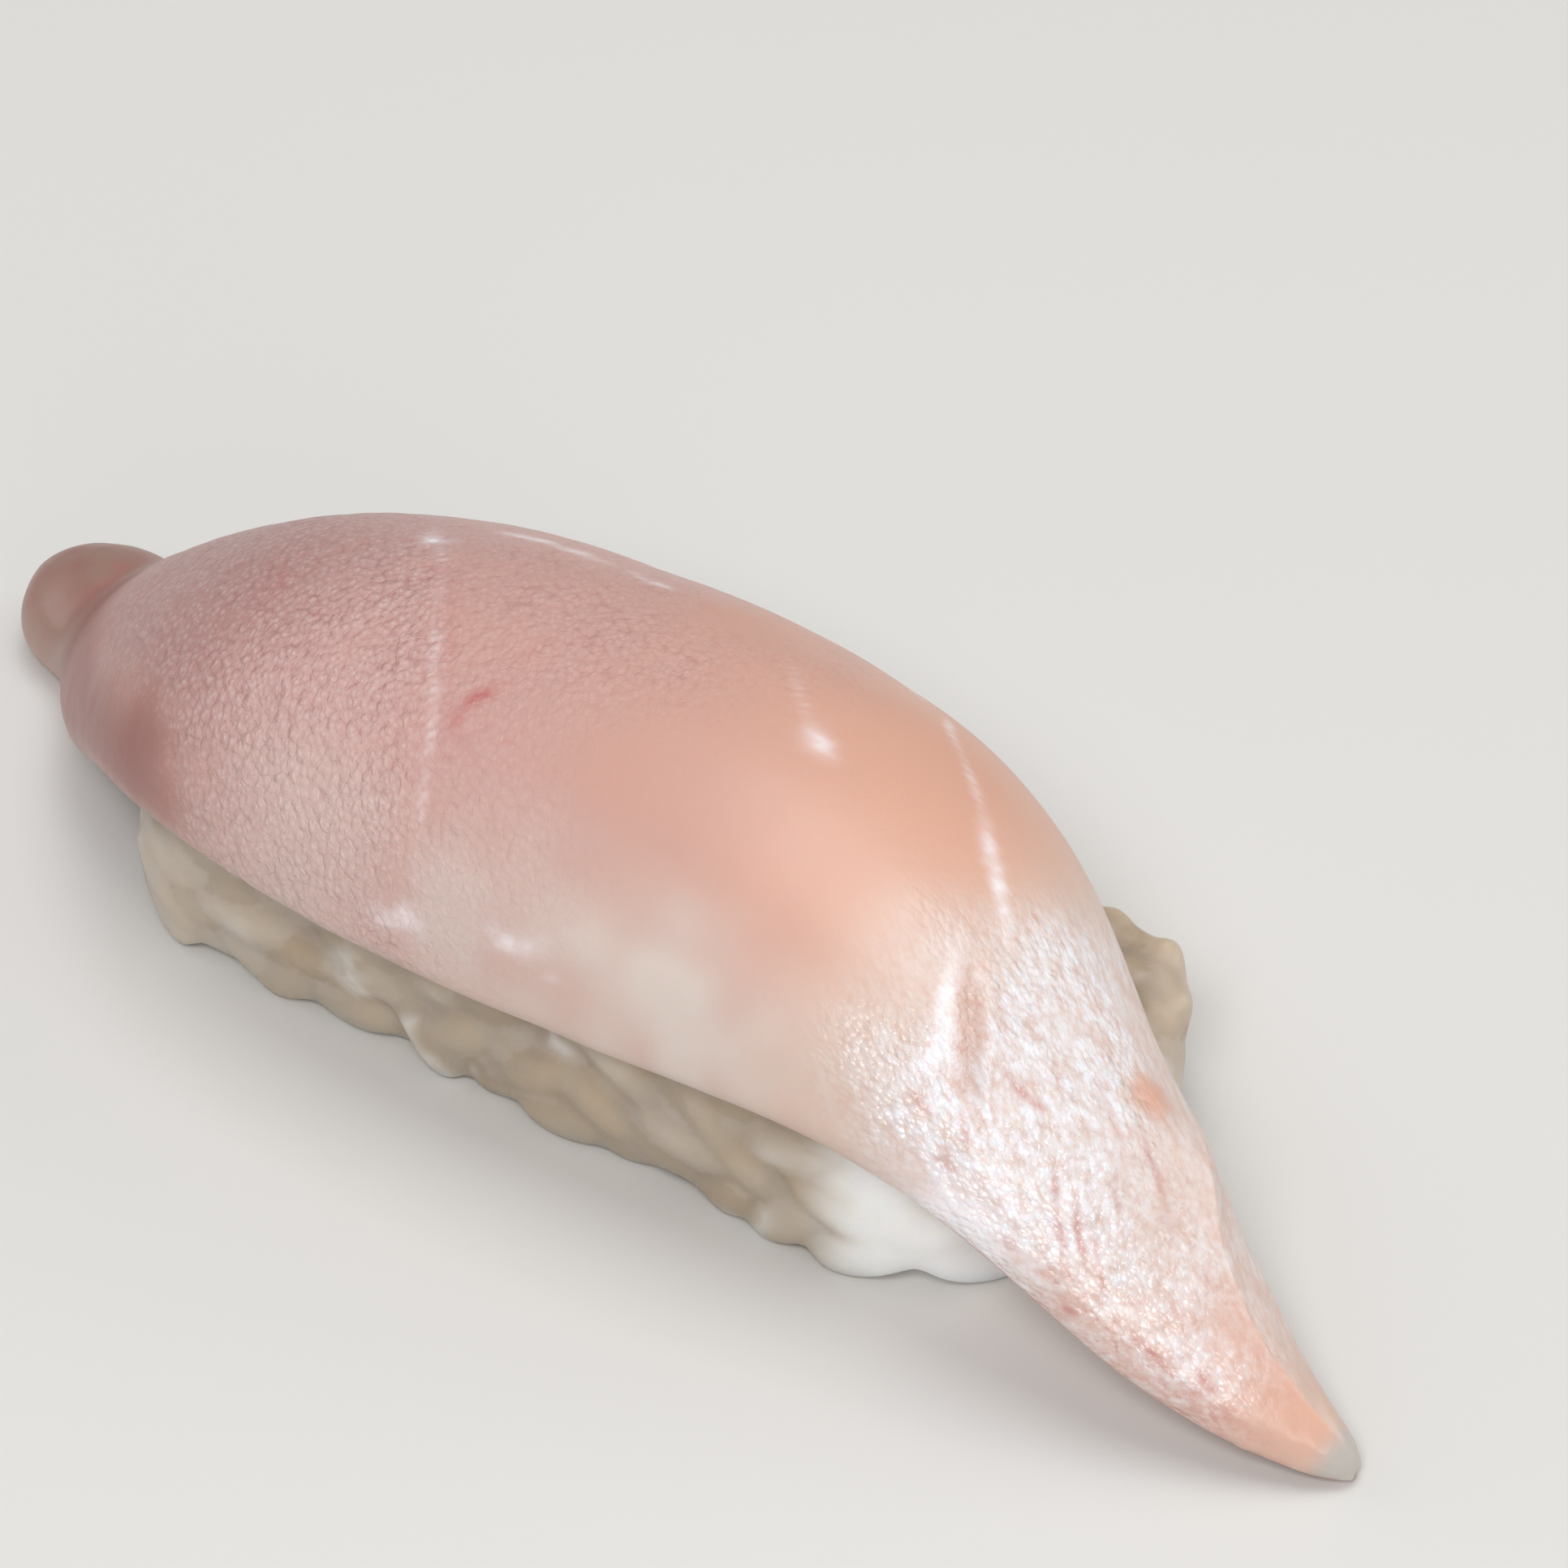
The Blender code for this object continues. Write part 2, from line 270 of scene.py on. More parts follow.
def filmRelief(tree, vector, settings):
    # height, beads and grooves; the settings follow the order of what the group is given
    node = addNode(tree, "ShaderNodeGroup", node_tree=moistFilm)
    joinTo(tree, vector, node.inputs["Vector"])
    for name, value in zip(moistRelief["given"], settings):
        joinTo(tree, value, node.inputs[name])
    return node.outputs["Height"], node.outputs["Beads"], node.outputs["Grooves"]


def raiseNormal(tree, height, distance, strength, under=None):
    # turns a height into a bent normal, on top of the one below it
    node = addNode(tree, "ShaderNodeBump")
    node.inputs["Distance"].default_value = distance
    joinTo(tree, strength, node.inputs["Strength"])
    joinTo(tree, height, node.inputs["Height"])
    if under is not None:
        tree.links.new(under, node.inputs["Normal"])
    return node.outputs["Normal"]


def moistDepth(shader, look):
    # a thin clear coat, and light that enters and comes out again nearby
    shader.inputs["Coat Weight"].default_value = look["coat"]
    shader.inputs["Coat Roughness"].default_value = look["coatRoughness"]
    shader.inputs["Subsurface Weight"].default_value = look["depth"]
    shader.inputs["Subsurface Radius"].default_value = look["depthColour"]
    shader.inputs["Subsurface Scale"].default_value = look["depthScale"]


moistFilm = moistFilmGroup(moistRelief)


# the slice of fish

sliceShape = {
    "start": -46.6, "end": 48.2,
    # rounding in mm: of the plan at both ends, of the gathered nose, of the body, and of the rim times this
    "startRound": 5.0, "endRound": 2.0, "noseRound": 1.6, "bodyRound": 6.0, "rimRound": 1.5,
    "plumpness": 2.2,  # power by which the body thins from the middle to the rims
    "lowest": 0.05,
    "columns": 440, "overTop": 150, "underneath": 56,
    # plan position of the near and far rim along the length
    "nearY": [(-47, 3.8), (-43, 2.7), (-39, 0.8), (-36, -1.6), (-33, -4.3), (-30, -6.6),
              (-26, -9.4), (-22, -11.4), (-18, -12.5), (0, -13.3), (20, -12.7), (31, -12.9),
              (38, -12.2), (44, -10.4), (50, -7.7)],
    "farY": [(-47, 9.1), (-42, 9.8), (-36, 9.9), (-26, 10.8), (-12, 12.4), (0, 12.2), (12, 10.4),
             (20, 6.8), (27, 2.6), (33.6, -1.5), (40, -4.6), (46, -6.8), (50, -7.5)],
    # height of the rims, and of the underside between them
    "nearZ": [(-47, -0.5), (-41, -0.2), (-37, 0.7), (-33, 2.5), (-29, 4.9), (-25, 7.0),
              (-21, 8.2), (-16, 8.7), (0, 8.9), (15, 9.4), (25, 8.8), (31, 6.9), (38, 3.4),
              (44, 0.9), (50, -0.8)],
    "farZ": [(-47, -0.5), (-40, 0.4), (-34, 2.9), (-26, 5.9), (-12, 8.0), (0, 8.4), (12, 9.2),
             (20, 10.2), (27, 9.5), (33.6, 6.6), (40, 3.2), (46, 0.7), (50, -0.8)],
    "crestZ": [(-47, 0.3), (-43.5, 0.8), (-40, 1.0), (-37, 2.2), (-33, 4.9), (-28, 8.4),
               (-20, 12.6), (-10, 14.8), (0, 15.3), (10, 15.0), (17, 13.9), (22, 12.3),
               (27, 10.2), (33, 7.3), (40, 3.6), (45, 1.2), (50, -0.8)],
    # thickness of the middle and of the rim, and the arch's half angle in radians
    "thick": [(-47, 3.6), (-43, 4.2), (-39, 4.2), (-34, 5.0), (-26, 5.8), (-10, 6.2),
              (10, 6.2), (24, 5.4), (33, 4.4), (42, 3.2), (50, 2.0)],
    "rim": [(-47, 3.0), (-38, 2.6), (-26, 2.0), (0, 1.8), (20, 1.8), (30, 2.0), (50, 1.8)],
    "arch": [(-47, 0.6), (-38, 0.8), (-28, 1.15), (0, 1.32), (18, 1.25), (28, 0.9),
             (36, 0.6), (50, 0.5)],
    # the tail's cut face: where its upper edge runs, as (x, share of the way across), and where it fades in
    "cutEdge": [(30, 0.86), (33, 0.72), (37, 0.36), (41, 0.14), (45, 0.05), (50, 0.05)],
    "cutFrom": (30.0, 36.0),
}

# what shows on the slice, as (x, share of the way across) stations
sliceMarks = {
    # where the thick film ends, as (share of the way across, x)
    "filmEdge": [(-1.0, -2.8), (-0.77, -3.5), (-0.58, -4.3), (-0.42, -7.2), (-0.22, -9.0),
                 (0.02, -12.5), (0.26, -16.6), (1.0, -24.0)],
    # where the wet tail starts, as (share of the way across, x)
    "tailEdge": [(-1.0, 23.8), (-0.87, 22.8), (-0.63, 21.2), (-0.39, 20.3), (-0.1, 19.9),
                 (0.15, 20.4), (0.35, 21.4), (1.0, 22.5)],
    # white seams, and painted glints on the crest and along the near rim: path, half width in mm, strength
    "seamAndGlint": [
        ([(-16.6, 0.26), (-13.0, 0.05), (-9.3, -0.18), (-7.0, -0.32), (-6.0, -0.40), (-4.4, -0.56),
          (-3.3, -0.72)], 0.19, 0.52),
        ([(5.3, 0.21), (7.4, 0.12), (9.4, 0.04)], 0.22, 0.40),
        # a cluster of painted glints
        ([(9.2, 0.06), (10.0, 0.03), (10.9, 0.01)], 0.60, 0.85),
        # painted glints near the crest
        ([(7.0, 0.56), (8.4, 0.53), (9.6, 0.49)], 0.20, 0.80),
        ([(11.1, 0.49), (12.0, 0.43), (13.6, 0.38)], 0.20, 0.80),
        ([(13.6, 0.38), (15.5, 0.32), (17.2, 0.26)], 0.22, 0.55),
        ([(17.2, 0.26), (19.2, 0.18), (21.1, 0.11), (22.4, 0.05)], 0.40, 1.00),
        ([(20.9, -0.10), (22.2, -0.26), (23.4, -0.38), (24.6, -0.48)], 0.40, 1.40),
        ([(22.2, -0.26), (23.2, -0.37), (23.8, -0.45), (23.4, -0.53)], 0.40, 1.40),
        ([(31.0, -0.30), (33.0, -0.50), (34.5, -0.60)], 0.18, 1.10),
        ([(30.5, -0.35), (32.0, -0.55), (33.5, -0.65)], 0.16, 0.90),
        ([(31.0, -0.15), (33.0, -0.30), (34.0, -0.35)], 0.18, 0.90),
        # painted glints along the near rim
        ([(-5.2, -0.84), (-4.4, -0.85), (-3.4, -0.82), (-2.6, -0.83)], 0.50, 0.80),
        ([(1.6, -0.76), (3.0, -0.77), (4.4, -0.75)], 0.50, 0.70),
        ([(5.0, -0.82), (6.2, -0.80)], 0.30, 0.30),
        # painted glints on the crest
        ([(-15.6, 0.17), (-15.0, 0.14), (-14.4, 0.15)], 0.40, 0.95),
        ([(-13.4, 0.30), (-12.4, 0.32), (-10.4, 0.32), (-8.0, 0.33)], 0.40, 0.95),
        ([(-6.4, 0.33), (-5.0, 0.30), (-3.8, 0.31)], 0.26, 0.90),
    ],
    # red nick and faint red stains, given alike
    "blood": [
        ([(-4.7, -0.24), (-5.1, -0.27), (-5.3, -0.32)], 0.42, 0.95),
        ([(-5.3, -0.32), (-5.2, -0.35), (-4.8, -0.39)], 0.36, 0.60),
        ([(-12.2, 0.05), (-8.6, -0.18), (-6.4, -0.32), (-5.4, -0.42), (-3.9, -0.58)], 0.45, 0.20),
        ([(-4.9, -0.23), (-4.7, -0.15), (-4.8, -0.04)], 0.34, 0.14),
        ([(-4.4, -0.30), (-3.6, -0.50)], 2.6, 0.10),
        ([(-13.4, 0.06), (-12.6, 0.02), (-12.0, -0.04)], 0.45, 0.30),
        ([(-19.6, -0.12), (-19.0, -0.19)], 0.9, 0.28),
        ([(26.4, -0.78), (27.0, -0.84)], 0.5, 0.45),
        ([(-41.0, 0.35), (-39.8, 0.0), (-39.6, -0.35)], 0.55, 0.30),
        ([(-29.3, -0.05), (-28.6, -0.30), (-29.9, -0.50), (-30.2, -0.66)], 1.0, 0.22),
    ],
    # pink wrinkles down the wet tail, given alike
    "tailLine": [
        ([(26.0, -0.30), (27.5, -0.30), (29.0, -0.25)], 0.22, 0.90),
        ([(30.0, -0.35), (31.5, -0.55), (33.5, -0.75)], 0.20, 0.90),
        ([(30.5, -0.25), (32.5, -0.50), (34.5, -0.70)], 0.20, 1.10),
        ([(32.5, -0.45), (34.0, -0.55), (35.5, -0.70)], 0.18, 1.10),
        ([(31.5, -0.05), (33.0, -0.20), (34.5, -0.30)], 0.22, 0.90),
        ([(31.5, 0.20), (33.5, 0.15), (36.0, -0.05)], 0.28, 0.80),
        ([(29.0, 0.10), (31.0, 0.05), (33.0, 0.00)], 0.20, 0.70),
        ([(30.0, -0.95), (30.5, -0.90), (31.5, -0.90)], 0.26, 1.10),
        ([(23.5, -0.60), (24.5, -0.65), (25.5, -0.65)], 0.18, 0.80),
        ([(26.5, -0.75), (27.5, -0.80)], 0.20, 0.80),
        ([(26.0, -0.55), (27.0, -0.65), (27.5, -0.70)], 0.20, 0.80),
        ([(36.0, -0.65), (36.5, -0.55), (37.0, -0.45)], 0.24, 1.00),
        ([(37.0, -0.75), (38.0, -0.75), (39.0, -0.75)], 0.24, 1.00),
        ([(34.0, -0.95), (35.0, -0.90)], 0.35, 1.10),
        ([(38.5, -0.90), (39.0, -0.90), (40.0, -0.85)], 0.26, 0.90),
        ([(40.0, -0.60), (41.0, -0.65), (41.5, -0.65)], 0.24, 0.90),
    ],
    # white foam with painted highlight on the wet tail, as (x, share across, reach in mm, strength), and one
    # bare spot in it
    "foamHighlight": [
        (28.7, -0.56, 2.6, 0.9), (30.6, -0.75, 2.3, 1.0), (33.0, -0.58, 1.9, 0.45),
        (35.3, -0.61, 2.0, 0.35), (39.8, -0.62, 1.8, 0.75), (41.8, -0.47, 1.2, 0.3),
        (26.8, 0.15, 3.2, 1.0), (25.0, -0.40, 2.0, 0.8), (23.4, -0.60, 1.6, 0.4),
        (33.5, -0.34, 1.8, 0.6), (30.8, -0.02, 2.2, 0.7), (37.0, -0.1, 1.5, 0.25),
        (24.6, 0.30, 2.6, 1.0), (27.3, -0.68, 2.0, 0.9), (25.4, -0.74, 1.6, 0.7),
    ],
    "bare": (30.8, 0.42, 1.3),
    # one furrow: path and half width in mm, then its depth
    "furrow": ([(21.8, -0.09), (22.9, -0.20), (24.3, -0.32), (25.4, -0.44), (26.6, -0.56)], 0.50),
    "furrowDepth": 0.45,
    # how the lines are broken up: (share, cell in mm) of the noise in their width, and the cell of the gaps
    "raggedWidth": [(0.40, 0.8), (0.30, 2.5)], "gapCell": 0.55,
    "seeds": {"seamAndGlint": 41, "blood": 43, "tailLine": 45},
}

# relief of the skin, with noises as (height in mm, cell in mm, seed)
skinRelief = {
    "swells": [(0.16, 9.0, 11), (0.07, 4.0, 12)], "underside": 0.3,
    "pucker": [(0.028, 0.8, 13)], "puckerSquash": (1.0, 0.5, 0.5), "puckerFrom": (-2, 14),
    "streaks": [(0.075, 0.95, 14), (0.035, 0.5, 15)], "streakFrom": (20, 31),
    "streakAlong": (0.875, -0.484), "streakSquash": 0.20,
    # the furrow's raised lip: its height as a share of the depth, its place and width in half widths
    "lip": (0.45, 1.7, 0.8),
    "fadeAtEnds": 3.0,
}


def rimGap(x):
    # plan distance between the rims
    return curveThrough(sliceShape["farY"], x) - curveThrough(sliceShape["nearY"], x)


def rimMiddle(x):
    # plan position midway between the rims
    return (curveThrough(sliceShape["nearY"], x) + curveThrough(sliceShape["farY"], x)) / 2


def acrossWidth(x):
    # half the plan width, drawn in to nothing at both ends
    ends = roundEnd(x - sliceShape["start"], sliceShape["startRound"])
    ends = ends * roundEnd(sliceShape["end"] - x, sliceShape["endRound"])
    return rimGap(x) / 2 * ends


def underSheet(x, q, width):
    # circular arch over the line between the rims: q is -1 at the near rim and 1 at the far rim
    angle = curveThrough(sliceShape["arch"], x)
    near, far = curveThrough(sliceShape["nearZ"], x), curveThrough(sliceShape["farZ"], x)
    across = np.sin(q * angle) / np.sin(angle)
    rise = (np.cos(q * angle) - np.cos(angle)) / (1 - np.cos(angle))
    crest = curveThrough(sliceShape["crestZ"], x)
    z = (near + far) / 2 + (far - near) / 2 * q + (crest - (near + far) / 2) * rise
    return np.stack([x, rimMiddle(x) + width * across, z], -1)


def sheetNormal(x, q, step=1e-3):
    # cross product of the sheet's slopes along and across, before its ends are drawn in
    ahead = underSheet(x + step, q, rimGap(x + step) / 2)
    behind = underSheet(x - step, q, rimGap(x - step) / 2)
    farther = underSheet(x, q + step, rimGap(x) / 2)
    nearer = underSheet(x, q - step, rimGap(x) / 2)
    normal = np.cross(ahead - behind, farther - nearer)
    return normal / np.linalg.norm(normal, axis=-1, keepdims=True)


def cutFaceEdge(x):
    # share of the way across at which the tail's cut face starts
    return curveThrough(sliceShape["cutEdge"], np.maximum(x, sliceShape["cutFrom"][0]))


def sliceSkin(x, q, top):
    # the sheet moved along its normal: rounded rims, a thick middle, and the tail's flat cut face
    shape = sliceShape
    rim = curveThrough(shape["rim"], x) / 2
    width = acrossWidth(x)
    fromEnd = np.minimum(x - shape["start"], shape["end"] - x)
    rounded = roundEnd((1 - np.abs(q)) * width, rim) * roundEnd(fromEnd, shape["rimRound"] * rim)
    plump = 1 - np.abs(q)**shape["plumpness"]
    # over the cut face the body thins evenly to the far rim, and by a square towards the near one
    edge = cutFaceEdge(x)
    wedge = np.where(q < edge, 1 - ((edge - q) / (1 + edge))**2, (1 - q) / (1 - edge))
    plump = plump + (np.clip(wedge, 0, 1) - plump) * ramp(x, *shape["cutFrom"])
    body = (curveThrough(shape["thick"], x) - 2 * rim) * plump * roundEnd(fromEnd, shape["bodyRound"])
    above = np.where(top, rim * rounded + body, -rim * rounded)
    normal = sheetNormal(x, q)
    middle = underSheet(x, q, width) + normal * rim[..., None]
    # the blunt end is gathered towards its centre line, which closes it
    centreLine = underSheet(x, 0 * q, width) + sheetNormal(x, 0 * q) * rim[..., None]
    gather = roundEnd(x - shape["start"], shape["noseRound"])[..., None]
    return centreLine + gather * (middle - centreLine) + normal * above[..., None]


def onTop(stations):
    # (x, share of the way across) stations placed on the upper skin
    at = np.array(stations, float)
    return sliceSkin(at[:, 0], at[:, 1], np.ones(len(at), bool))


def markMask(skin, marks, seed):
    # strength times a bell of the distance to each path, with ragged width, tapered ends and gaps
    total = np.zeros(skin.shape[:-1])
    layers = [(share, cell, seed + n) for n, (share, cell) in enumerate(sliceMarks["raggedWidth"])]
    ragged = 1 + lumps(skin, layers)
    for stations, width, strength in marks:
        away, place = alongPath(skin, onTop(stations))
        taper = 0.35 + 0.65 * fadedEnds(place, 0.02)
        total = np.maximum(total, strength * taper * bump(away, 0.0, width * ragged))
    gaps = softNoise(skin, sliceMarks["gapCell"], seed + len(layers))
    return total * (0.55 + 0.45 * ramp(gaps, -0.25, 0.25))


def besideFurrow(skin):
    # distance to the furrow in its half widths, and how strong it is there
    stations, width = sliceMarks["furrow"]
    away, place = alongPath(skin, onTop(stations))
    return away / width, fadedEnds(place, 0.03)


def sliceRelief(skin, x, top):
    # height in mm added along the normal: slow swells, film puckers, tail streaks and one furrow
    relief = skinRelief
    swell = lumps(skin, relief["swells"])
    filmy = 0.1 + 0.9 * ramp(-x, *relief["puckerFrom"])
    pucker = filmy * lumps(skin * relief["puckerSquash"], relief["pucker"])
    # the streaks' noise is squashed along their direction, which draws it out
    alongX, alongY = relief["streakAlong"]
    along = alongX * x + alongY * skin[..., 1]
    across = alongX * skin[..., 1] - alongY * x
    streaked = np.stack([relief["streakSquash"] * along, across, skin[..., 2]], -1)
    streaks = ramp(x, *relief["streakFrom"]) * lumps(streaked, relief["streaks"])
    away, strong = besideFurrow(skin)
    lipHeight, lipPlace, lipWidth = relief["lip"]
    lip = lipHeight * bump(away, lipPlace, lipWidth)
    furrow = strong * sliceMarks["furrowDepth"] * (lip - bump(away, 0.0, 1.0))
    return np.where(top, swell + pucker + streaks + furrow, relief["underside"] * swell)


def buildSlice():
    # rings of points round the slice, over the top and back underneath, closer together at ends and rims
    shape = sliceShape
    columns, over, under = shape["columns"], shape["overTop"], shape["underneath"]
    middle, reach = (shape["start"] + shape["end"]) / 2, (shape["end"] - shape["start"]) / 2
    x = middle - reach * np.cos(np.pi * np.arange(1, columns) / columns)
    overQ = -np.cos(np.pi * np.arange(over) / over)
    underQ = np.cos(np.pi * np.arange(under) / under)
    gridX, gridQ = np.meshgrid(x, np.concatenate([overQ, underQ]), indexing="ij")
    gridTop = np.broadcast_to(np.arange(over + under) < over, gridX.shape)
    skin = sliceSkin(gridX, gridQ, gridTop)
    lengthwise = np.gradient(skin, axis=0)
    ringwise = np.roll(skin, -1, axis=1) - np.roll(skin, 1, axis=1)
    normal = np.cross(lengthwise, ringwise)
    normal /= np.maximum(np.linalg.norm(normal, axis=-1, keepdims=True), 1e-9)
    ends = roundEnd(np.minimum(gridX - x[0], x[-1] - gridX), skinRelief["fadeAtEnds"])
    relief = sliceRelief(skin, gridX, gridTop) * ends
    skin = skin + normal * relief[..., None]
    skin[..., 2] = np.maximum(skin[..., 2], shape["lowest"])
    poles = onTop([(shape["start"], 0), (shape["end"], 0)])
    poles[:, 2] = np.maximum(poles[:, 2], shape["lowest"])
    points = np.concatenate([skin.reshape(-1, 3), poles])
    return points, tubeFaces(*skin.shape[:2]), skin, gridX, gridQ, gridTop


fishLook = {
    # the peach colour is partly painted warm bounce light, the pale colour painted sheen, the tail colour
    # partly painted highlight, and the shade and tongue colours painted shade
    "flesh": (0.580, 0.345, 0.300, 1), "fleshWarm": (0.610, 0.345, 0.280, 1),
    "peachBounce": (0.725, 0.410, 0.30, 1), "film": (0.60, 0.360, 0.330, 1), "paleSheen": (0.70, 0.60, 0.54, 1),
    "tail": (0.69, 0.52, 0.43, 1), "shade": (0.25, 0.055, 0.045, 1), "tongue": (0.330, 0.190, 0.152, 1),
    "face": (0.65, 0.49, 0.41, 1), "tip": (0.50, 0.48, 0.44, 1),
    "fleckGlint": (0.86, 0.70, 0.66, 1), "pit": (0.42, 0.18, 0.16, 1), "white": (0.83, 0.83, 0.86, 1),
    "pinkLine": (0.58, 0.29, 0.25, 1), "blood": (0.50, 0.10, 0.10, 1), "seamAndGlint": (0.93, 0.88, 0.90, 1),
    # how strongly flecks, pits, foam and squiggles show; the flecks are partly painted glints and the foam
    # partly painted highlight
    "fleckGlintAmount": 0.9, "pitAmount": 0.50, "squiggleAmount": 0.70,
    "foamHighlightAmount": 1.1, "foamHighlightBase": 0.30, "streakAmount": 0.70, "betweenStreaks": 0.45,
    # noises as (scale per metre, detail, roughness, low, high)
    "mottle": (160.0, 3.0, 0.55, 0.32, 0.68), "streaks": (1700.0, 3.0, 0.62, 0.36, 0.65),
    # what moistFilm is given, the stretch and turn of its pattern, and its depth in metres
    "pucker": (2500.0, 2700.0, 0.36, 0.22), "puckerGrain": ((1.0, 1.4, 1.1), 0.66), "puckerDepth": 0.00032,
    "glisten": (2200.0, 3200.0, 0.45, 0.15), "glistenGrain": ((2.1, 1.0, 1.0), -0.45),
    "glistenDepth": 0.00026, "streakGrain": ((5.0, 1.0, 1.0), -0.45),
    # share of the relief's depth: in the film, elsewhere, and on the wet tail
    "filmStrength": 0.8, "bareStrength": 0.05, "wetStrength": 0.9,
    "roughness": 0.38, "filmRoughness": 0.36, "wetRoughness": 0.20, "mottleRoughness": 0.06,
    "gloss": 0.8, "bending": 1.42, "coat": 0.2, "coatRoughness": 0.22,
    "depth": 0.45, "depthColour": (1.0, 0.42, 0.30), "depthScale": 0.0020,
}


def fishMaterial(look):
    material, tree, shader = newMaterial("rawTuna")
    film, wet = pointMask(tree, "film"), pointMask(tree, "wet")
    # fine relief: puckered film, and glistening beads and squiggles down the tail
    grain = objectPlace(tree, *look["puckerGrain"])
    pucker, puckerBeads, puckerPits = filmRelief(tree, grain, look["pucker"])
    grain = objectPlace(tree, *look["glistenGrain"])
    glisten, drops, squiggles = filmRelief(tree, grain, look["glisten"])
    # colour: mottled flesh, then each zone's colour laid over it; some zones are painted light: bounce light,
    # sheen, highlight and shade
    mottle = cloud(tree, objectPlace(tree), *look["mottle"])
    colour = blendColour(tree, mottle, look["flesh"], look["fleshWarm"])
    for zone in ("peachBounce", "film", "paleSheen", "tail", "shade", "tongue", "face", "tip"):
        colour = blendColour(tree, pointMask(tree, zone), colour, look[zone])
    # the film is flecked with white, partly painted glints, and pitted
    fleckGlints = math(tree, "MULTIPLY", puckerBeads, look["fleckGlintAmount"])
    colour = blendColour(tree, math(tree, "MULTIPLY", film, fleckGlints, clamp=True), colour, look["fleckGlint"])
    pits = math(tree, "MULTIPLY", puckerPits, look["pitAmount"])
    colour = blendColour(tree, math(tree, "MULTIPLY", pointMask(tree, "pitted"), pits), colour, look["pit"])
    # the wet tail is white with foam and painted highlight, drawn out in streaks, and scored by pink lines
    # between them
    streaks = cloud(tree, objectPlace(tree, *look["streakGrain"]), *look["streaks"])
    highlightSpeckle = math(tree, "MULTIPLY_ADD", drops, look["foamHighlightAmount"], look["foamHighlightBase"])
    highlightSpeckle = math(tree, "MULTIPLY_ADD", streaks, look["streakAmount"], highlightSpeckle)
    white = math(tree, "MULTIPLY", pointMask(tree, "foamHighlight"), highlightSpeckle, clamp=True)
    colour = blendColour(tree, white, colour, look["white"])
    between = math(tree, "MULTIPLY_ADD", streaks, -look["betweenStreaks"], look["betweenStreaks"])
    squiggles = math(tree, "MULTIPLY", squiggles, look["squiggleAmount"])
    creases = math(tree, "MULTIPLY", pointMask(tree, "scored"), math(tree, "MAXIMUM", squiggles, between))
    creases = math(tree, "MAXIMUM", creases, pointMask(tree, "tailLine"))
    colour = blendColour(tree, creases, colour, look["pinkLine"])
    # red nicks, then white seams and painted glints, laid on last
    for line in ("blood", "seamAndGlint"):
        colour = blendColour(tree, pointMask(tree, line), colour, look[line])
    tree.links.new(colour, shader.inputs["Base Color"])
    puckered = math(tree, "MULTIPLY_ADD", film, look["filmStrength"], look["bareStrength"])
    normal = raiseNormal(tree, pucker, look["puckerDepth"], puckered)
    glistening = math(tree, "MULTIPLY", wet, look["wetStrength"])
    normal = raiseNormal(tree, glisten, look["glistenDepth"], glistening, normal)
    tree.links.new(normal, shader.inputs["Normal"])
    shine = blendValue(tree, film, look["roughness"], look["filmRoughness"])
    shine = blendValue(tree, wet, shine, look["wetRoughness"])
    shine = math(tree, "ADD", shine, math(tree, "MULTIPLY", mottle, look["mottleRoughness"]))
    tree.links.new(shine, shader.inputs["Roughness"])
    shader.inputs["Specular IOR Level"].default_value = look["gloss"]
    shader.inputs["IOR"].default_value = look["bending"]
    moistDepth(shader, look)
    return material


# where the looks of the skin fade in, as (from, to): along the slice in mm, or across as a share of the way
skinZones = {
    # noises that break up the edges, as (cell in mm, seed)
    "patches": (7.0, 31), "fine": (2.2, 32), "tongueMottle": (1.4, 33),
    # the film: its slow fade to the right, its stop at the seam, and where it is pitted
    "filmFade": (-9, 5), "filmStop": (-1.5, 2.5), "pitted": (-0.75, -0.35),
    # painted shade on the lower left and on the tongue, and painted shade deepening towards the left end
    "darkAcross": (0.68, 1.18), "darkSlant": 0.016, "darkAlong": (14.5, 23), "darkTongue": (28, 35),
    "tongue": (34.0, 39.0), "leftShade": (12, 25),
    # the paler band of painted sheen along the near rim, and the painted sheen left of it
    "bandAcross": (0.33, 0.75), "bandRight": (-22, -11), "bandLeft": (-8, 2), "bandMiddle": (4, 12),
    "sheenAcross": (0.40, 0.65), "sheen": (-10, 6.5),
    # the wet tail, which thins towards the far rim and the tip
    "tailStart": (-3.0, 4.5), "farward": (0.30, 0.65), "wetTip": (41.5, 46), "foamHighlightTip": (40, 45),
    "tailColour": (15, 24), "tailFade": (34, 43), "nearRim": (0.60, 0.85), "nearRimAlong": (30, 35),
    "scoredTip": (42, 46),
    # peach tone and painted warm bounce light to the right and on the far side, the cut face, the tip, and a
    # fatty edge as (x, reach)
    "peachBounce": (-9, 20), "farSide": (0.15, 0.60), "farSideAlong": (-18, -6),
    "cutFace": (-0.03, 0.10), "cutFaceAlong": (31, 35), "tip": (46.0, 47.6),
    "rimReach": 0.7, "fatEdge": (28.6, 2.8), "fatReach": 1.2,
}


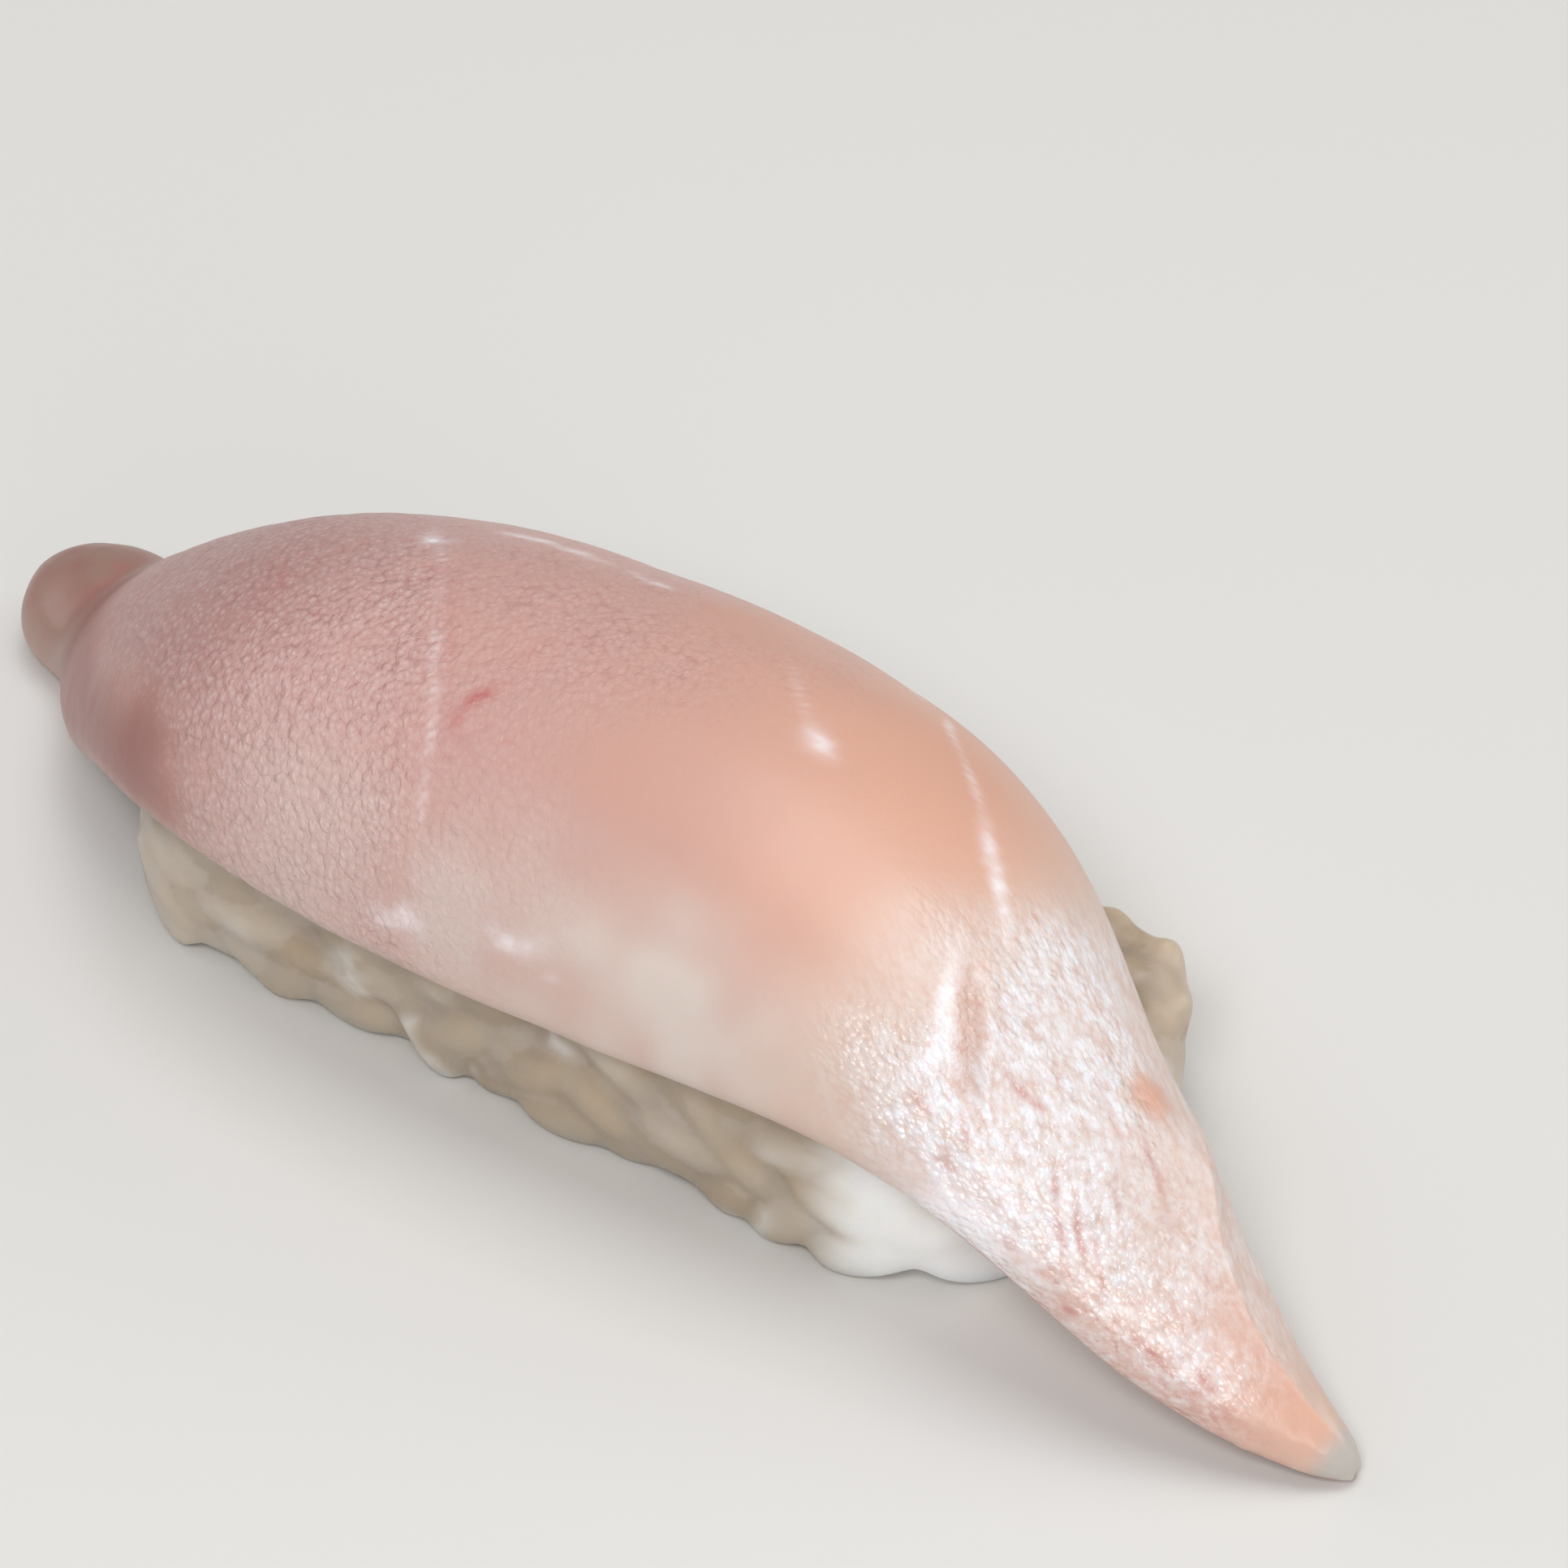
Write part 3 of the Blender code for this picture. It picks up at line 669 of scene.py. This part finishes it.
def filmZones(x, q, patch, fine):
    zone = skinZones
    # film: thick left of the seam, fading out over the middle, and gone from the lower left and the tongue
    seamX = curveThrough(sliceMarks["filmEdge"], q)
    film = 0.5 * ramp(-x + 6 * patch, *zone["filmFade"]) + 0.5 * ramp(seamX - x, *zone["filmStop"])
    towardRim = ramp(-q - zone["darkSlant"] * x + 0.06 * patch + 0.05 * fine, *zone["darkAcross"])
    dark = towardRim * ramp(-x + fine, *zone["darkAlong"]) + ramp(-x, *zone["darkTongue"])
    film = film * (1 - ramp(dark, 0.1, 0.9)) * (1 + 0.35 * fine)
    pitted = film * ramp(q, *zone["pitted"]) * (0.75 + 0.6 * patch)
    # a paler band of painted sheen along the near rim, which reaches furthest right at the rim itself
    towardTail = ramp(-x + 8 * np.clip(-q - 0.5, 0, 0.4) + 4 * patch, *zone["bandRight"])
    fromLeft = 0.66 * ramp(x + 3 * patch, *zone["bandLeft"]) + 0.34 * ramp(x, *zone["bandMiddle"])
    band = ramp(-q, *zone["bandAcross"]) * towardTail * fromLeft * (0.9 + 0.4 * fine)
    # painted sheen on the lower film, left of the band
    sheen = 0.42 * ramp(-q, *zone["sheenAcross"]) * bump(x, *zone["sheen"])
    # painted shade: darker on the lower left and towards the left end, which face away from the light
    leftShade = 0.42 * ramp(-x, *zone["leftShade"])
    shade = np.maximum(0.84 * np.clip(dark, 0, 1), leftShade) * (1 + 0.20 * patch)
    return {"film": film, "pitted": pitted, "paleSheen": np.maximum(band, sheen), "shade": shade}


def tailZones(skin, x, q, patch, fine):
    zone = skinZones
    # wet from the slanting line where the speckle starts, thinner towards the far rim and the tip
    tailward = ramp(x - curveThrough(sliceMarks["tailEdge"], q) + 2 * patch, *zone["tailStart"])
    farward = ramp(q + 0.02 * (x - 26), *zone["farward"])
    wet = tailward * (1 - 0.75 * farward) * (0.80 + 0.5 * fine)
    wet = wet * (1 - 0.85 * ramp(x - 1.5 * q, *zone["wetTip"]))
    nearRim = ramp(-q, *zone["nearRim"]) * ramp(x, *zone["nearRimAlong"])
    scored = tailward * (0.35 + 0.9 * nearRim) * (1 - ramp(x, *zone["scoredTip"]))
    # foam and painted highlight lie in spots, and are gone from one bare spot and along the furrow
    spots = np.zeros(x.shape)
    for at, share, reach, strength in sliceMarks["foamHighlight"]:
        spots += strength * bump(np.linalg.norm(skin - onTop([(at, share)]), axis=-1), 0.0, reach)
    bareX, bareQ, bareReach = sliceMarks["bare"]
    bare = np.exp(-(np.linalg.norm(skin - onTop([(bareX, bareQ)]), axis=-1) / bareReach)**4)
    away, strong = besideFurrow(skin)
    bare = np.maximum(bare, 0.95 * bump(away, 0.0, 1.4) * strong)
    foamHighlight = tailward * (0.45 + 0.80 * np.clip(spots, 0, 1)) * (1 + 0.4 * fine)
    foamHighlight = foamHighlight * (1 - bare) * (1 - ramp(x, *zone["foamHighlightTip"]))
    # the tail's paler colour is partly painted highlight
    tail = ramp(x + 2 * patch, *zone["tailColour"]) * (1 - 0.8 * ramp(x, *zone["tailFade"]))
    tail = tail * (1 - 0.8 * bare)
    return {"wet": wet, "scored": scored, "foamHighlight": foamHighlight, "tail": tail}


def edgeZones(skin, x, q, patch, fine):
    zone = skinZones
    # painted warm bounce light over the flesh's peach tone, strongest to the right and on the far side
    farSide = 0.5 * ramp(q, *zone["farSide"]) * ramp(x, *zone["farSideAlong"])
    peachBounce = np.maximum(ramp(x + 20 * q + 2 * patch, *zone["peachBounce"]), farSide)
    cut = ramp(q - cutFaceEdge(x), *zone["cutFace"]) * ramp(x, *zone["cutFaceAlong"])
    width = acrossWidth(x)
    rims = np.exp(-(1 - np.abs(q)) * np.maximum(width, 0.01) / zone["rimReach"])
    fatEdge = bump(x, *zone["fatEdge"]) * bump((q + 1) * width, 0.0, zone["fatReach"]) * (1.1 + 0.5 * fine)
    # the tongue is darkened with painted shade, mottled by noise
    mottled = 0.88 + 0.25 * patch + 0.35 * softNoise(skin, *zone["tongueMottle"])
    lines = {name: markMask(skin, sliceMarks[name], seed) for name, seed in sliceMarks["seeds"].items()}
    lines["seamAndGlint"] = np.maximum(lines["seamAndGlint"], fatEdge)
    return {"peachBounce": peachBounce, "face": np.maximum(0.9 * cut, 0.5 * rims),
            "tip": ramp(x + 0.4 * patch, *zone["tip"]),
            "tongue": ramp(-x, *zone["tongue"]) * mottled, **lines}


def makeFish():
    points, triangles, skin, x, q, top = buildSlice()
    fish = meshPiece("tuna_slice", points, triangles, fishMaterial(fishLook))
    patch, fine = softNoise(skin, *skinZones["patches"]), softNoise(skin, *skinZones["fine"])
    masks = {**filmZones(x, q, patch, fine), **tailZones(skin, x, q, patch, fine),
             **edgeZones(skin, x, q, patch, fine)}
    for name, mask in masks.items():
        # the underside and the two poles stay plain
        upper = np.clip(np.where(top, mask, 0), 0, 1)
        pointValues(fish, name, np.concatenate([upper.ravel(), [0, 0]]))
    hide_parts("fish_slice")
    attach(fish, "root")
    print("fish slice made:", len(triangles), "triangles")
    return fish


# the pressed rice

riceShape = {
    "length": 54.0, "width": 22.4, "corner": 7.2,
    "undercut": 0.9, "undercutHeight": 4.0, "shoulder": 1.3,
    "gap": 0.35, "rimReach": 1.4, "rimDrop": 1.0,
    # a grain's length, width and depth, its range of sizes, and the sides and rings of its mesh
    "grain": (6.4, 2.9, 2.5), "grainSizes": (0.9, 1.08), "grainMesh": (14, 10),
    "tiltSpread": 0.55, "leanSpread": 0.12, "sinkRange": (0.0, 0.7),
    "rows": 4, "firstRow": 1.75, "rowPitch": 2.45, "pitch": 4.6,
    "topPitch": (4.4, 2.6), "topSink": 1.35, "seed": 7,
    "fillers": 260, "fillerHeights": (1.5, 9.4), "fillerSeed": 19,
    # how far a grain that meets the slice slides down and inwards, tried in turn, and its least height
    "slides": ((0, 0), (0.5, 0), (1.0, 0), (1.0, 0.5), (1.6, 0.6), (2.2, 0.8)), "lowest": 0.12,
    "coreRings": (20, 20, 10), "coreSides": 120, "coreCentre": 0.02,
    "fatten": 0.25, "fineness": 0.27, "softening": 8,
    # the lowest part of the skin is let down by this much, over these heights
    "letDown": 0.3, "letDownOver": (0.3, 2.5),
}

# what shows on the rice
riceMarks = {
    "toneSeed": 5, "creaseWidth": 0.10, "nearGrain": 4.5,
    "chalkyCore": (0.15, 0.6), "rightEnd": (24, 28.5), "leftCorner": (18, 28),
    # a cluster of painted glints: its place, reach, and the cell and seed of its noise
    "glintCluster": (-9.6, -11.5, 4.7), "glintClusterReach": 1.6, "glintClusterNoise": (0.6, 6),
}


def underSlice(x, y):
    # highest z that rice may reach: the slice's underside less the gap, lower along its rim
    shape = riceShape
    width = np.maximum(acrossWidth(np.clip(x, sliceShape["start"] + 1, sliceShape["end"] - 1)), 0.5)
    fromMiddle = y - rimMiddle(x)
    angle = curveThrough(sliceShape["arch"], x)
    q = np.arcsin(np.clip(fromMiddle / width, -1, 1) * np.sin(angle)) / angle
    overRim = np.clip((np.abs(fromMiddle) - width + shape["rimReach"]) / shape["rimReach"], 0, 1)
    return underSheet(x, q, width)[..., 2] - shape["gap"] - shape["rimDrop"] * overRim


def blockGirth():
    # length of the rounded rectangle's outline
    shape = riceShape
    return 2 * (shape["length"] + shape["width"] - 4 * shape["corner"]) + 2 * np.pi * shape["corner"]


def blockOutline(distance):
    # point and outward direction on the rounded rectangle, by distance along it
    corner = riceShape["corner"]
    straightX, straightY = riceShape["length"] - 2 * corner, riceShape["width"] - 2 * corner
    arc = np.pi / 2 * corner
    distance = distance % blockGirth()
    sides = [(straightX, (-1, -1), 0.0), (straightY, (1, -1), 0.5), (straightX, (1, 1), 1.0),
             (straightY, (-1, 1), 1.5)]
    for length, (cornerX, cornerY), heading in sides:
        start = np.array([cornerX * straightX / 2, cornerY * straightY / 2])
        ahead = np.array([np.cos(heading * np.pi), np.sin(heading * np.pi)])
        out = np.array([ahead[1], -ahead[0]])
        if distance <= length:
            return start + ahead * distance + out * corner, out
        distance -= length
        if distance <= arc:
            turn = heading * np.pi - np.pi / 2 + distance / corner
            out = np.array([np.cos(turn), np.sin(turn)])
            return start + ahead * length + out * corner, out
        distance -= arc


def grainFrame(out, side, tilt, lean):
    # axes of a grain: its length, its width, and the way it faces
    axis = side * np.cos(tilt) + np.cross(out, side) * np.sin(tilt)
    axis = axis * np.cos(lean) + out * np.sin(lean)
    depth = out - axis * (out @ axis)
    depth /= np.linalg.norm(depth)
    return np.stack([axis, np.cross(depth, axis), depth], 1)


def drawnIn(height):
    # how far the sides are drawn in near the table
    return riceShape["undercut"] * np.clip(1 - height / riceShape["undercutHeight"], 0, 1)**2


def sideGrain(rng, along, height):
    # a grain lying in the side, at a random tilt and lean, and sunk by a random part of its depth
    tilt, lean = rng.normal(0, riceShape["tiltSpread"]), rng.normal(0, riceShape["leanSpread"])
    size = rng.uniform(*riceShape["grainSizes"])
    # grains higher up are sunk less
    sink = rng.uniform(*riceShape["sinkRange"]) * np.clip(1.3 - height / 6, 0.4, 1)
    plan, out = blockOutline(along)
    out = np.array([*out, 0.0])
    side = np.array([-out[1], out[0], 0.0])
    centre = np.array([*plan, height]) - out * (sink + drawnIn(height))
    return centre, grainFrame(out, side, tilt, lean), size


def grainPlaces():
    # jittered rows round the sides, then the bare corner of the top, then fillers sunk between them
    shape = riceShape
    rng = np.random.default_rng(shape["seed"])
    around = blockGirth()
    count = int(around / shape["pitch"])
    places = []
    for row in range(shape["rows"]):
        for n in range(count):
            along = (n + 0.5 * (row % 2) + rng.uniform(-0.25, 0.25)) * around / count
            height = shape["firstRow"] + row * shape["rowPitch"] + rng.uniform(-0.45, 0.45)
            places.append(sideGrain(rng, along, height))
    up = np.array([0.0, 0.0, 1.0])
    pitchX, pitchY = shape["topPitch"]
    for x in np.arange(0.0, shape["length"] / 2 - 1.5, pitchX):
        for y in np.arange(0.0, shape["width"] / 2 - 1.0, pitchY):
            x1, y1 = x + rng.uniform(-0.8, 0.8), y + rng.uniform(-0.5, 0.5)
            turn, size = rng.uniform(0, np.pi), rng.uniform(*shape["grainSizes"])
            if y1 - rimMiddle(x1) < acrossWidth(x1) + 0.2:
                continue
            side = np.array([np.cos(turn), np.sin(turn), 0.0])
            z = underSlice(x1, y1) - shape["topSink"] * size
            places.append((np.array([x1, y1, z]), grainFrame(up, side, 0.0, 0.1), size))
    rng = np.random.default_rng(shape["fillerSeed"])
    for n in range(shape["fillers"]):
        along, height = rng.uniform(0, around), rng.uniform(*shape["fillerHeights"])
        centre, axes, size = sideGrain(rng, along, height)
        places.append((centre - axes[:, 2] * rng.uniform(0.1, 0.5), axes, size))
    return places


def grainForm(around, rings):
    # plump spindle: radius is the sine of the latitude to the power 0.85, a little flat on one side
    latitude = np.pi * np.arange(1, rings) / rings
    turn = 2 * np.pi * np.arange(around) / around
    lat, lon = np.meshgrid(latitude, turn, indexing="ij")
    radius = np.sin(lat)**0.85
    form = np.stack([np.cos(lat), radius * np.cos(lon), radius * np.sin(lon)], -1) / 2
    form[..., 1] *= 1 - 0.12 * np.cos(lon) * np.sin(lat)
    points = np.concatenate([form.reshape(-1, 3), [[0.5, 0, 0], [-0.5, 0, 0]]]) * riceShape["grain"]
    return points, tubeFaces(rings - 1, around)


def coreForm():
    # rounded block under the slice: rings grow from the middle of the base, climb the sides and close on top
    shape = riceShape
    base, side, top = shape["coreRings"]
    spots = np.linspace(0, blockGirth(), shape["coreSides"], endpoint=False)
    outline = np.array([blockOutline(spot)[0] for spot in spots])
    share = np.concatenate([np.linspace(shape["coreCentre"], 1, base), np.ones(side),
                            np.linspace(1, shape["coreCentre"], top)])
    level = np.concatenate([np.zeros(base), np.linspace(0, 1, side), np.ones(top)])
    plan = outline[None] * share[:, None, None]
    height = level[:, None] * (underSlice(plan[..., 0], plan[..., 1]) - shape["shoulder"] * share[:, None]**8)
    plan = plan * (1 - drawnIn(height) / (shape["width"] / 2))[..., None]
    points = np.concatenate([plan, height[..., None]], -1)
    ends = np.array([points[0].mean(0), points[-1].mean(0)])
    # this tube runs the other way round, so its triangles are turned over
    return np.concatenate([points.reshape(-1, 3), ends]), tubeFaces(*points.shape[:2])[:, ::-1]


def settled(local, centre, axes):
    # a grain that meets the slice slides down, then inwards, and is left out if it still meets it
    lowest = riceShape["lowest"]
    for drop, inward in riceShape["slides"]:
        points = local + centre - (0, 0, drop) - axes[:, 2] * inward
        points[:, 2] += max(0.0, lowest + 0.03 - points[:, 2].min())
        if (points[:, 2] >= lowest).all() and (points[:, 2] <= underSlice(points[:, 0], points[:, 1])).all():
            return points
    return None


riceLook = {
    "clear": (0.385, 0.31, 0.23, 1), "milky": (0.54, 0.475, 0.41, 1), "cream": (0.50, 0.37, 0.235, 1),
    # the crease colour is painted shade between grains
    "chalkAndLight": (0.95, 0.95, 0.93, 1), "creaseShade": (0.46, 0.38, 0.30, 1),
    "creamAmount": 0.5, "creaseShadeAmount": 0.35, "creaseShadeUnderChalk": -0.4,
    "mottle": (330.0, 3.0, 0.55, 0.3, 0.7),
    # what moistFilm is given, its depth in metres and the share of it that shows
    "film": (1500.0, 900.0, 0.3, 0.0), "filmDepth": 0.00018, "filmStrength": 0.35,
    "roughness": 0.42, "creaseRoughness": 0.30, "mottleRoughness": 0.12, "coat": 0.2, "coatRoughness": 0.2,
    "depth": 0.9, "depthColour": (1.0, 0.80, 0.58), "depthScale": 0.0045,
}


def riceMaterial(look):
    material, tree, shader = newMaterial("cookedRice")
    creases, chalkAndLight = pointMask(tree, "creaseShade"), pointMask(tree, "chalkAndLight")
    place = objectPlace(tree)
    mottle = cloud(tree, place, *look["mottle"])
    colour = blendColour(tree, pointMask(tree, "grainTone"), look["clear"], look["milky"])
    colour = blendColour(tree, math(tree, "MULTIPLY", mottle, look["creamAmount"]), colour, look["cream"])
    # chalky grains, painted light on the right end, and a cluster of painted glints
    colour = blendColour(tree, chalkAndLight, colour, look["chalkAndLight"])
    # the painted shade in the creases between grains shows less where the rice is chalky
    plain = math(tree, "MULTIPLY_ADD", chalkAndLight, look["creaseShadeUnderChalk"], look["creaseShadeAmount"], clamp=True)
    colour = blendColour(tree, math(tree, "MULTIPLY", creases, plain), colour, look["creaseShade"])
    tree.links.new(colour, shader.inputs["Base Color"])
    height = filmRelief(tree, place, look["film"])[0]
    normal = raiseNormal(tree, height, look["filmDepth"], look["filmStrength"])
    tree.links.new(normal, shader.inputs["Normal"])
    shine = blendValue(tree, creases, look["roughness"], look["creaseRoughness"])
    shine = math(tree, "ADD", shine, math(tree, "MULTIPLY", mottle, look["mottleRoughness"]))
    tree.links.new(shine, shader.inputs["Roughness"])
    moistDepth(shader, look)
    return material


def packedGrains():
    # the core and every grain that finds room, fattened, as one mesh, and the place of each grain
    form, faces = grainForm(*riceShape["grainMesh"])
    fatter = 1 + riceShape["fatten"] / (np.array(riceShape["grain"]) / 2)
    points, triangles = coreForm()
    allPoints, allFaces, kept = [points], [triangles], []
    count = len(points)
    for centre, axes, size in grainPlaces():
        placed = settled(form @ axes.T * size, centre, axes)
        if placed is None:
            continue
        middle = placed.mean(0)
        allPoints.append(middle + (placed - middle) @ axes * fatter @ axes.T)
        allFaces.append(faces + count)
        kept.append((middle, axes, size))
        count += len(placed)
    return np.concatenate(allPoints), np.concatenate(allFaces), kept


def meltTogether(rice):
    # grains and core are melted into one skin and softened, which closes the cracks between fattened grains,
    # then the skin is drawn back by as much, melted and softened once more
    for turn in ("first", "second"):
        melt = rice.modifiers.new(turn + "Melt", "REMESH")
        melt.mode = "VOXEL"
        melt.voxel_size = riceShape["fineness"] * mm
        melt.use_smooth_shade = True
        soften = rice.modifiers.new(turn + "Soften", "SMOOTH")
        soften.factor, soften.iterations = 0.5, riceShape["softening"]
        if turn == "first":
            drawBack = rice.modifiers.new("drawBack", "DISPLACE")
            drawBack.strength, drawBack.mid_level = -riceShape["fatten"] * mm, 0.0
    graph = bpy.context.evaluated_depsgraph_get()
    skin = bpy.data.meshes.new_from_object(rice.evaluated_get(graph), depsgraph=graph)
    rice.modifiers.clear()
    rice.data = skin
    spots = np.empty(len(skin.vertices) * 3, np.float32)
    skin.vertices.foreach_get("co", spots)
    spots = spots.reshape(-1, 3).astype(float) / mm + pieceCentre
    # the lowest part is let down on to the table, where it flattens
    letDown = riceShape["letDown"] * (1 - ramp(spots[:, 2], *riceShape["letDownOver"]))
    spots[:, 2] = np.maximum(spots[:, 2] - letDown, 0)
    skin.vertices.foreach_set("co", ((spots - pieceCentre) * mm).astype(np.float32).ravel())
    return spots


def nearestGrains(spots, kept):
    # each spot belongs to the grain whose ellipsoid it is nearest; the margin is how much further the next is
    nearest = np.full((2, len(spots)), 1e9)
    owner = np.zeros(len(spots), int)
    half = np.array(riceShape["grain"]) / 2
    for n, (centre, axes, size) in enumerate(kept):
        close = np.flatnonzero(np.abs(spots - centre).max(1) < riceMarks["nearGrain"])
        away = np.linalg.norm((spots[close] - centre) @ axes / (half * size), axis=1)
        first = away < nearest[0, close]
        nearest[1, close] = np.where(first, nearest[0, close], np.minimum(nearest[1, close], away))
        nearest[0, close] = np.where(first, away, nearest[0, close])
        owner[close[first]] = n
    return owner, nearest[1] - nearest[0]


def makeRice():
    points, triangles, kept = packedGrains()
    rice = meshPiece("rice_block", points, triangles, riceMaterial(riceLook))
    spots = meltTogether(rice)
    owner, margin = nearestGrains(spots, kept)
    marks = riceMarks
    rng = np.random.default_rng(marks["toneSeed"])
    tones = rng.uniform(0, 1, len(kept))
    chalky = rng.uniform(0, 1, len(kept))**3
    pointValues(rice, "grainTone", tones[owner])
    # painted shade in the creases between grains
    pointValues(rice, "creaseShade", bump(margin, 0.0, marks["creaseWidth"]))
    # some grains are chalky, the right end is whitened as painted light, the left corner is whitened a
    # little, and one white cluster is painted glints
    x, y = spots[:, 0], spots[:, 1]
    whiteEnds = 0.9 * ramp(x - y / 2, *marks["rightEnd"]) + 0.10 * ramp(-x - y / 2, *marks["leftCorner"])
    glintCluster = bump(np.linalg.norm(spots - marks["glintCluster"], axis=1), 0.0, marks["glintClusterReach"])
    glintCluster = glintCluster * (0.35 + 0.5 * softNoise(spots, *marks["glintClusterNoise"]))
    chalkAndLight = 0.6 * chalky[owner] * ramp(margin, *marks["chalkyCore"])
    pointValues(rice, "chalkAndLight", np.maximum.reduce([chalkAndLight, whiteEnds, glintCluster]))
    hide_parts("rice")
    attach(rice, "root")
    print("rice made:", len(kept), "grains,", len(rice.data.polygons), "faces")
    return rice


# floor, light and camera

stage = {
    "floorColour": (0.72, 0.71, 0.69, 1), "floorReach": 2.5, "floorRoughness": 0.75, "floorGloss": 0.25,
    "skyColour": (0.94, 0.96, 1.0), "skyStrength": 0.24,
    # softboxes: direction towards the lamp, distance and width in metres, watts, colour
    "lamps": [
        ("keyLight", (0.30, -0.62, 0.72), 0.9, 0.30, 3.6, (1.0, 1.0, 1.0)),
        ("topLight", (0.0, 0.15, 1.0), 0.9, 0.60, 3.2, (1.0, 0.985, 0.965)),
        ("leftLight", (-0.80, -0.15, 0.60), 0.9, 0.45, 0.9, (0.93, 0.96, 1.0)),
        ("rightLight", (0.80, -0.50, 0.36), 0.9, 0.35, 1.2, (1.0, 1.0, 1.0)),
        ("backLight", (0.55, 0.70, 0.45), 1.0, 0.6, 2.0, (1.0, 0.95, 0.90)),
    ],
    # camera angle round the piece and above the table, its distance, lens, and the spot it looks at
    "azimuth": 38.0, "elevation": 37.0, "distance": 0.420, "lens": 191.7, "filmWidth": 36.0,
    "target": (1.108, 9.189, 8.703),
}


def makeFloor():
    reach = stage["floorReach"]
    corners = [(-reach, -reach, 0), (reach, -reach, 0), (reach, reach, 0), (-reach, reach, 0)]
    mesh = bpy.data.meshes.new("floor")
    mesh.from_pydata(corners, [], [(0, 1, 2, 3)])
    material, tree, shader = newMaterial("paleTable")
    shader.inputs["Base Color"].default_value = stage["floorColour"]
    shader.inputs["Roughness"].default_value = stage["floorRoughness"]
    shader.inputs["Specular IOR Level"].default_value = stage["floorGloss"]
    mesh.materials.append(material)
    floor = bpy.data.objects.new("floor", mesh)
    bpy.context.scene.collection.objects.link(floor)


def makeLight():
    world = bpy.data.worlds.new("studio")
    bpy.context.scene.world = world
    bpy.context.scene.view_settings.view_transform = "Standard"
    world.use_nodes = True
    sky = world.node_tree.nodes["Background"]
    sky.inputs["Color"].default_value = (*stage["skyColour"], 1)
    sky.inputs["Strength"].default_value = stage["skyStrength"]
    for name, towards, distance, width, watts, colour in stage["lamps"]:
        data = bpy.data.lights.new(name, "AREA")
        data.size, data.energy, data.color = width, watts, colour
        lamp = bpy.data.objects.new(name, data)
        lamp.location = Vector(towards).normalized() * distance
        lamp.rotation_euler = Vector(towards).to_track_quat("Z", "Y").to_euler()
        bpy.context.scene.collection.objects.link(lamp)


def makeCamera():
    a, e = np.radians(stage["azimuth"]), np.radians(stage["elevation"])
    back = Vector((np.sin(a) * np.cos(e), -np.cos(a) * np.cos(e), np.sin(e)))
    target = Vector((np.array(stage["target"]) - pieceCentre) * mm)
    data = bpy.data.cameras.new("photoView")
    data.lens, data.sensor_width, data.sensor_fit = stage["lens"], stage["filmWidth"], "HORIZONTAL"
    data.clip_start, data.clip_end = 0.01, 20.0
    camera = bpy.data.objects.new("photoView", data)
    camera.location = target + back * stage["distance"]
    camera.rotation_euler = back.to_track_quat("Z", "Y").to_euler()
    bpy.context.scene.collection.objects.link(camera)
    bpy.context.scene.camera = camera


makeFish()
makeRice()
makeFloor()
makeLight()
makeCamera()
print("stage set")
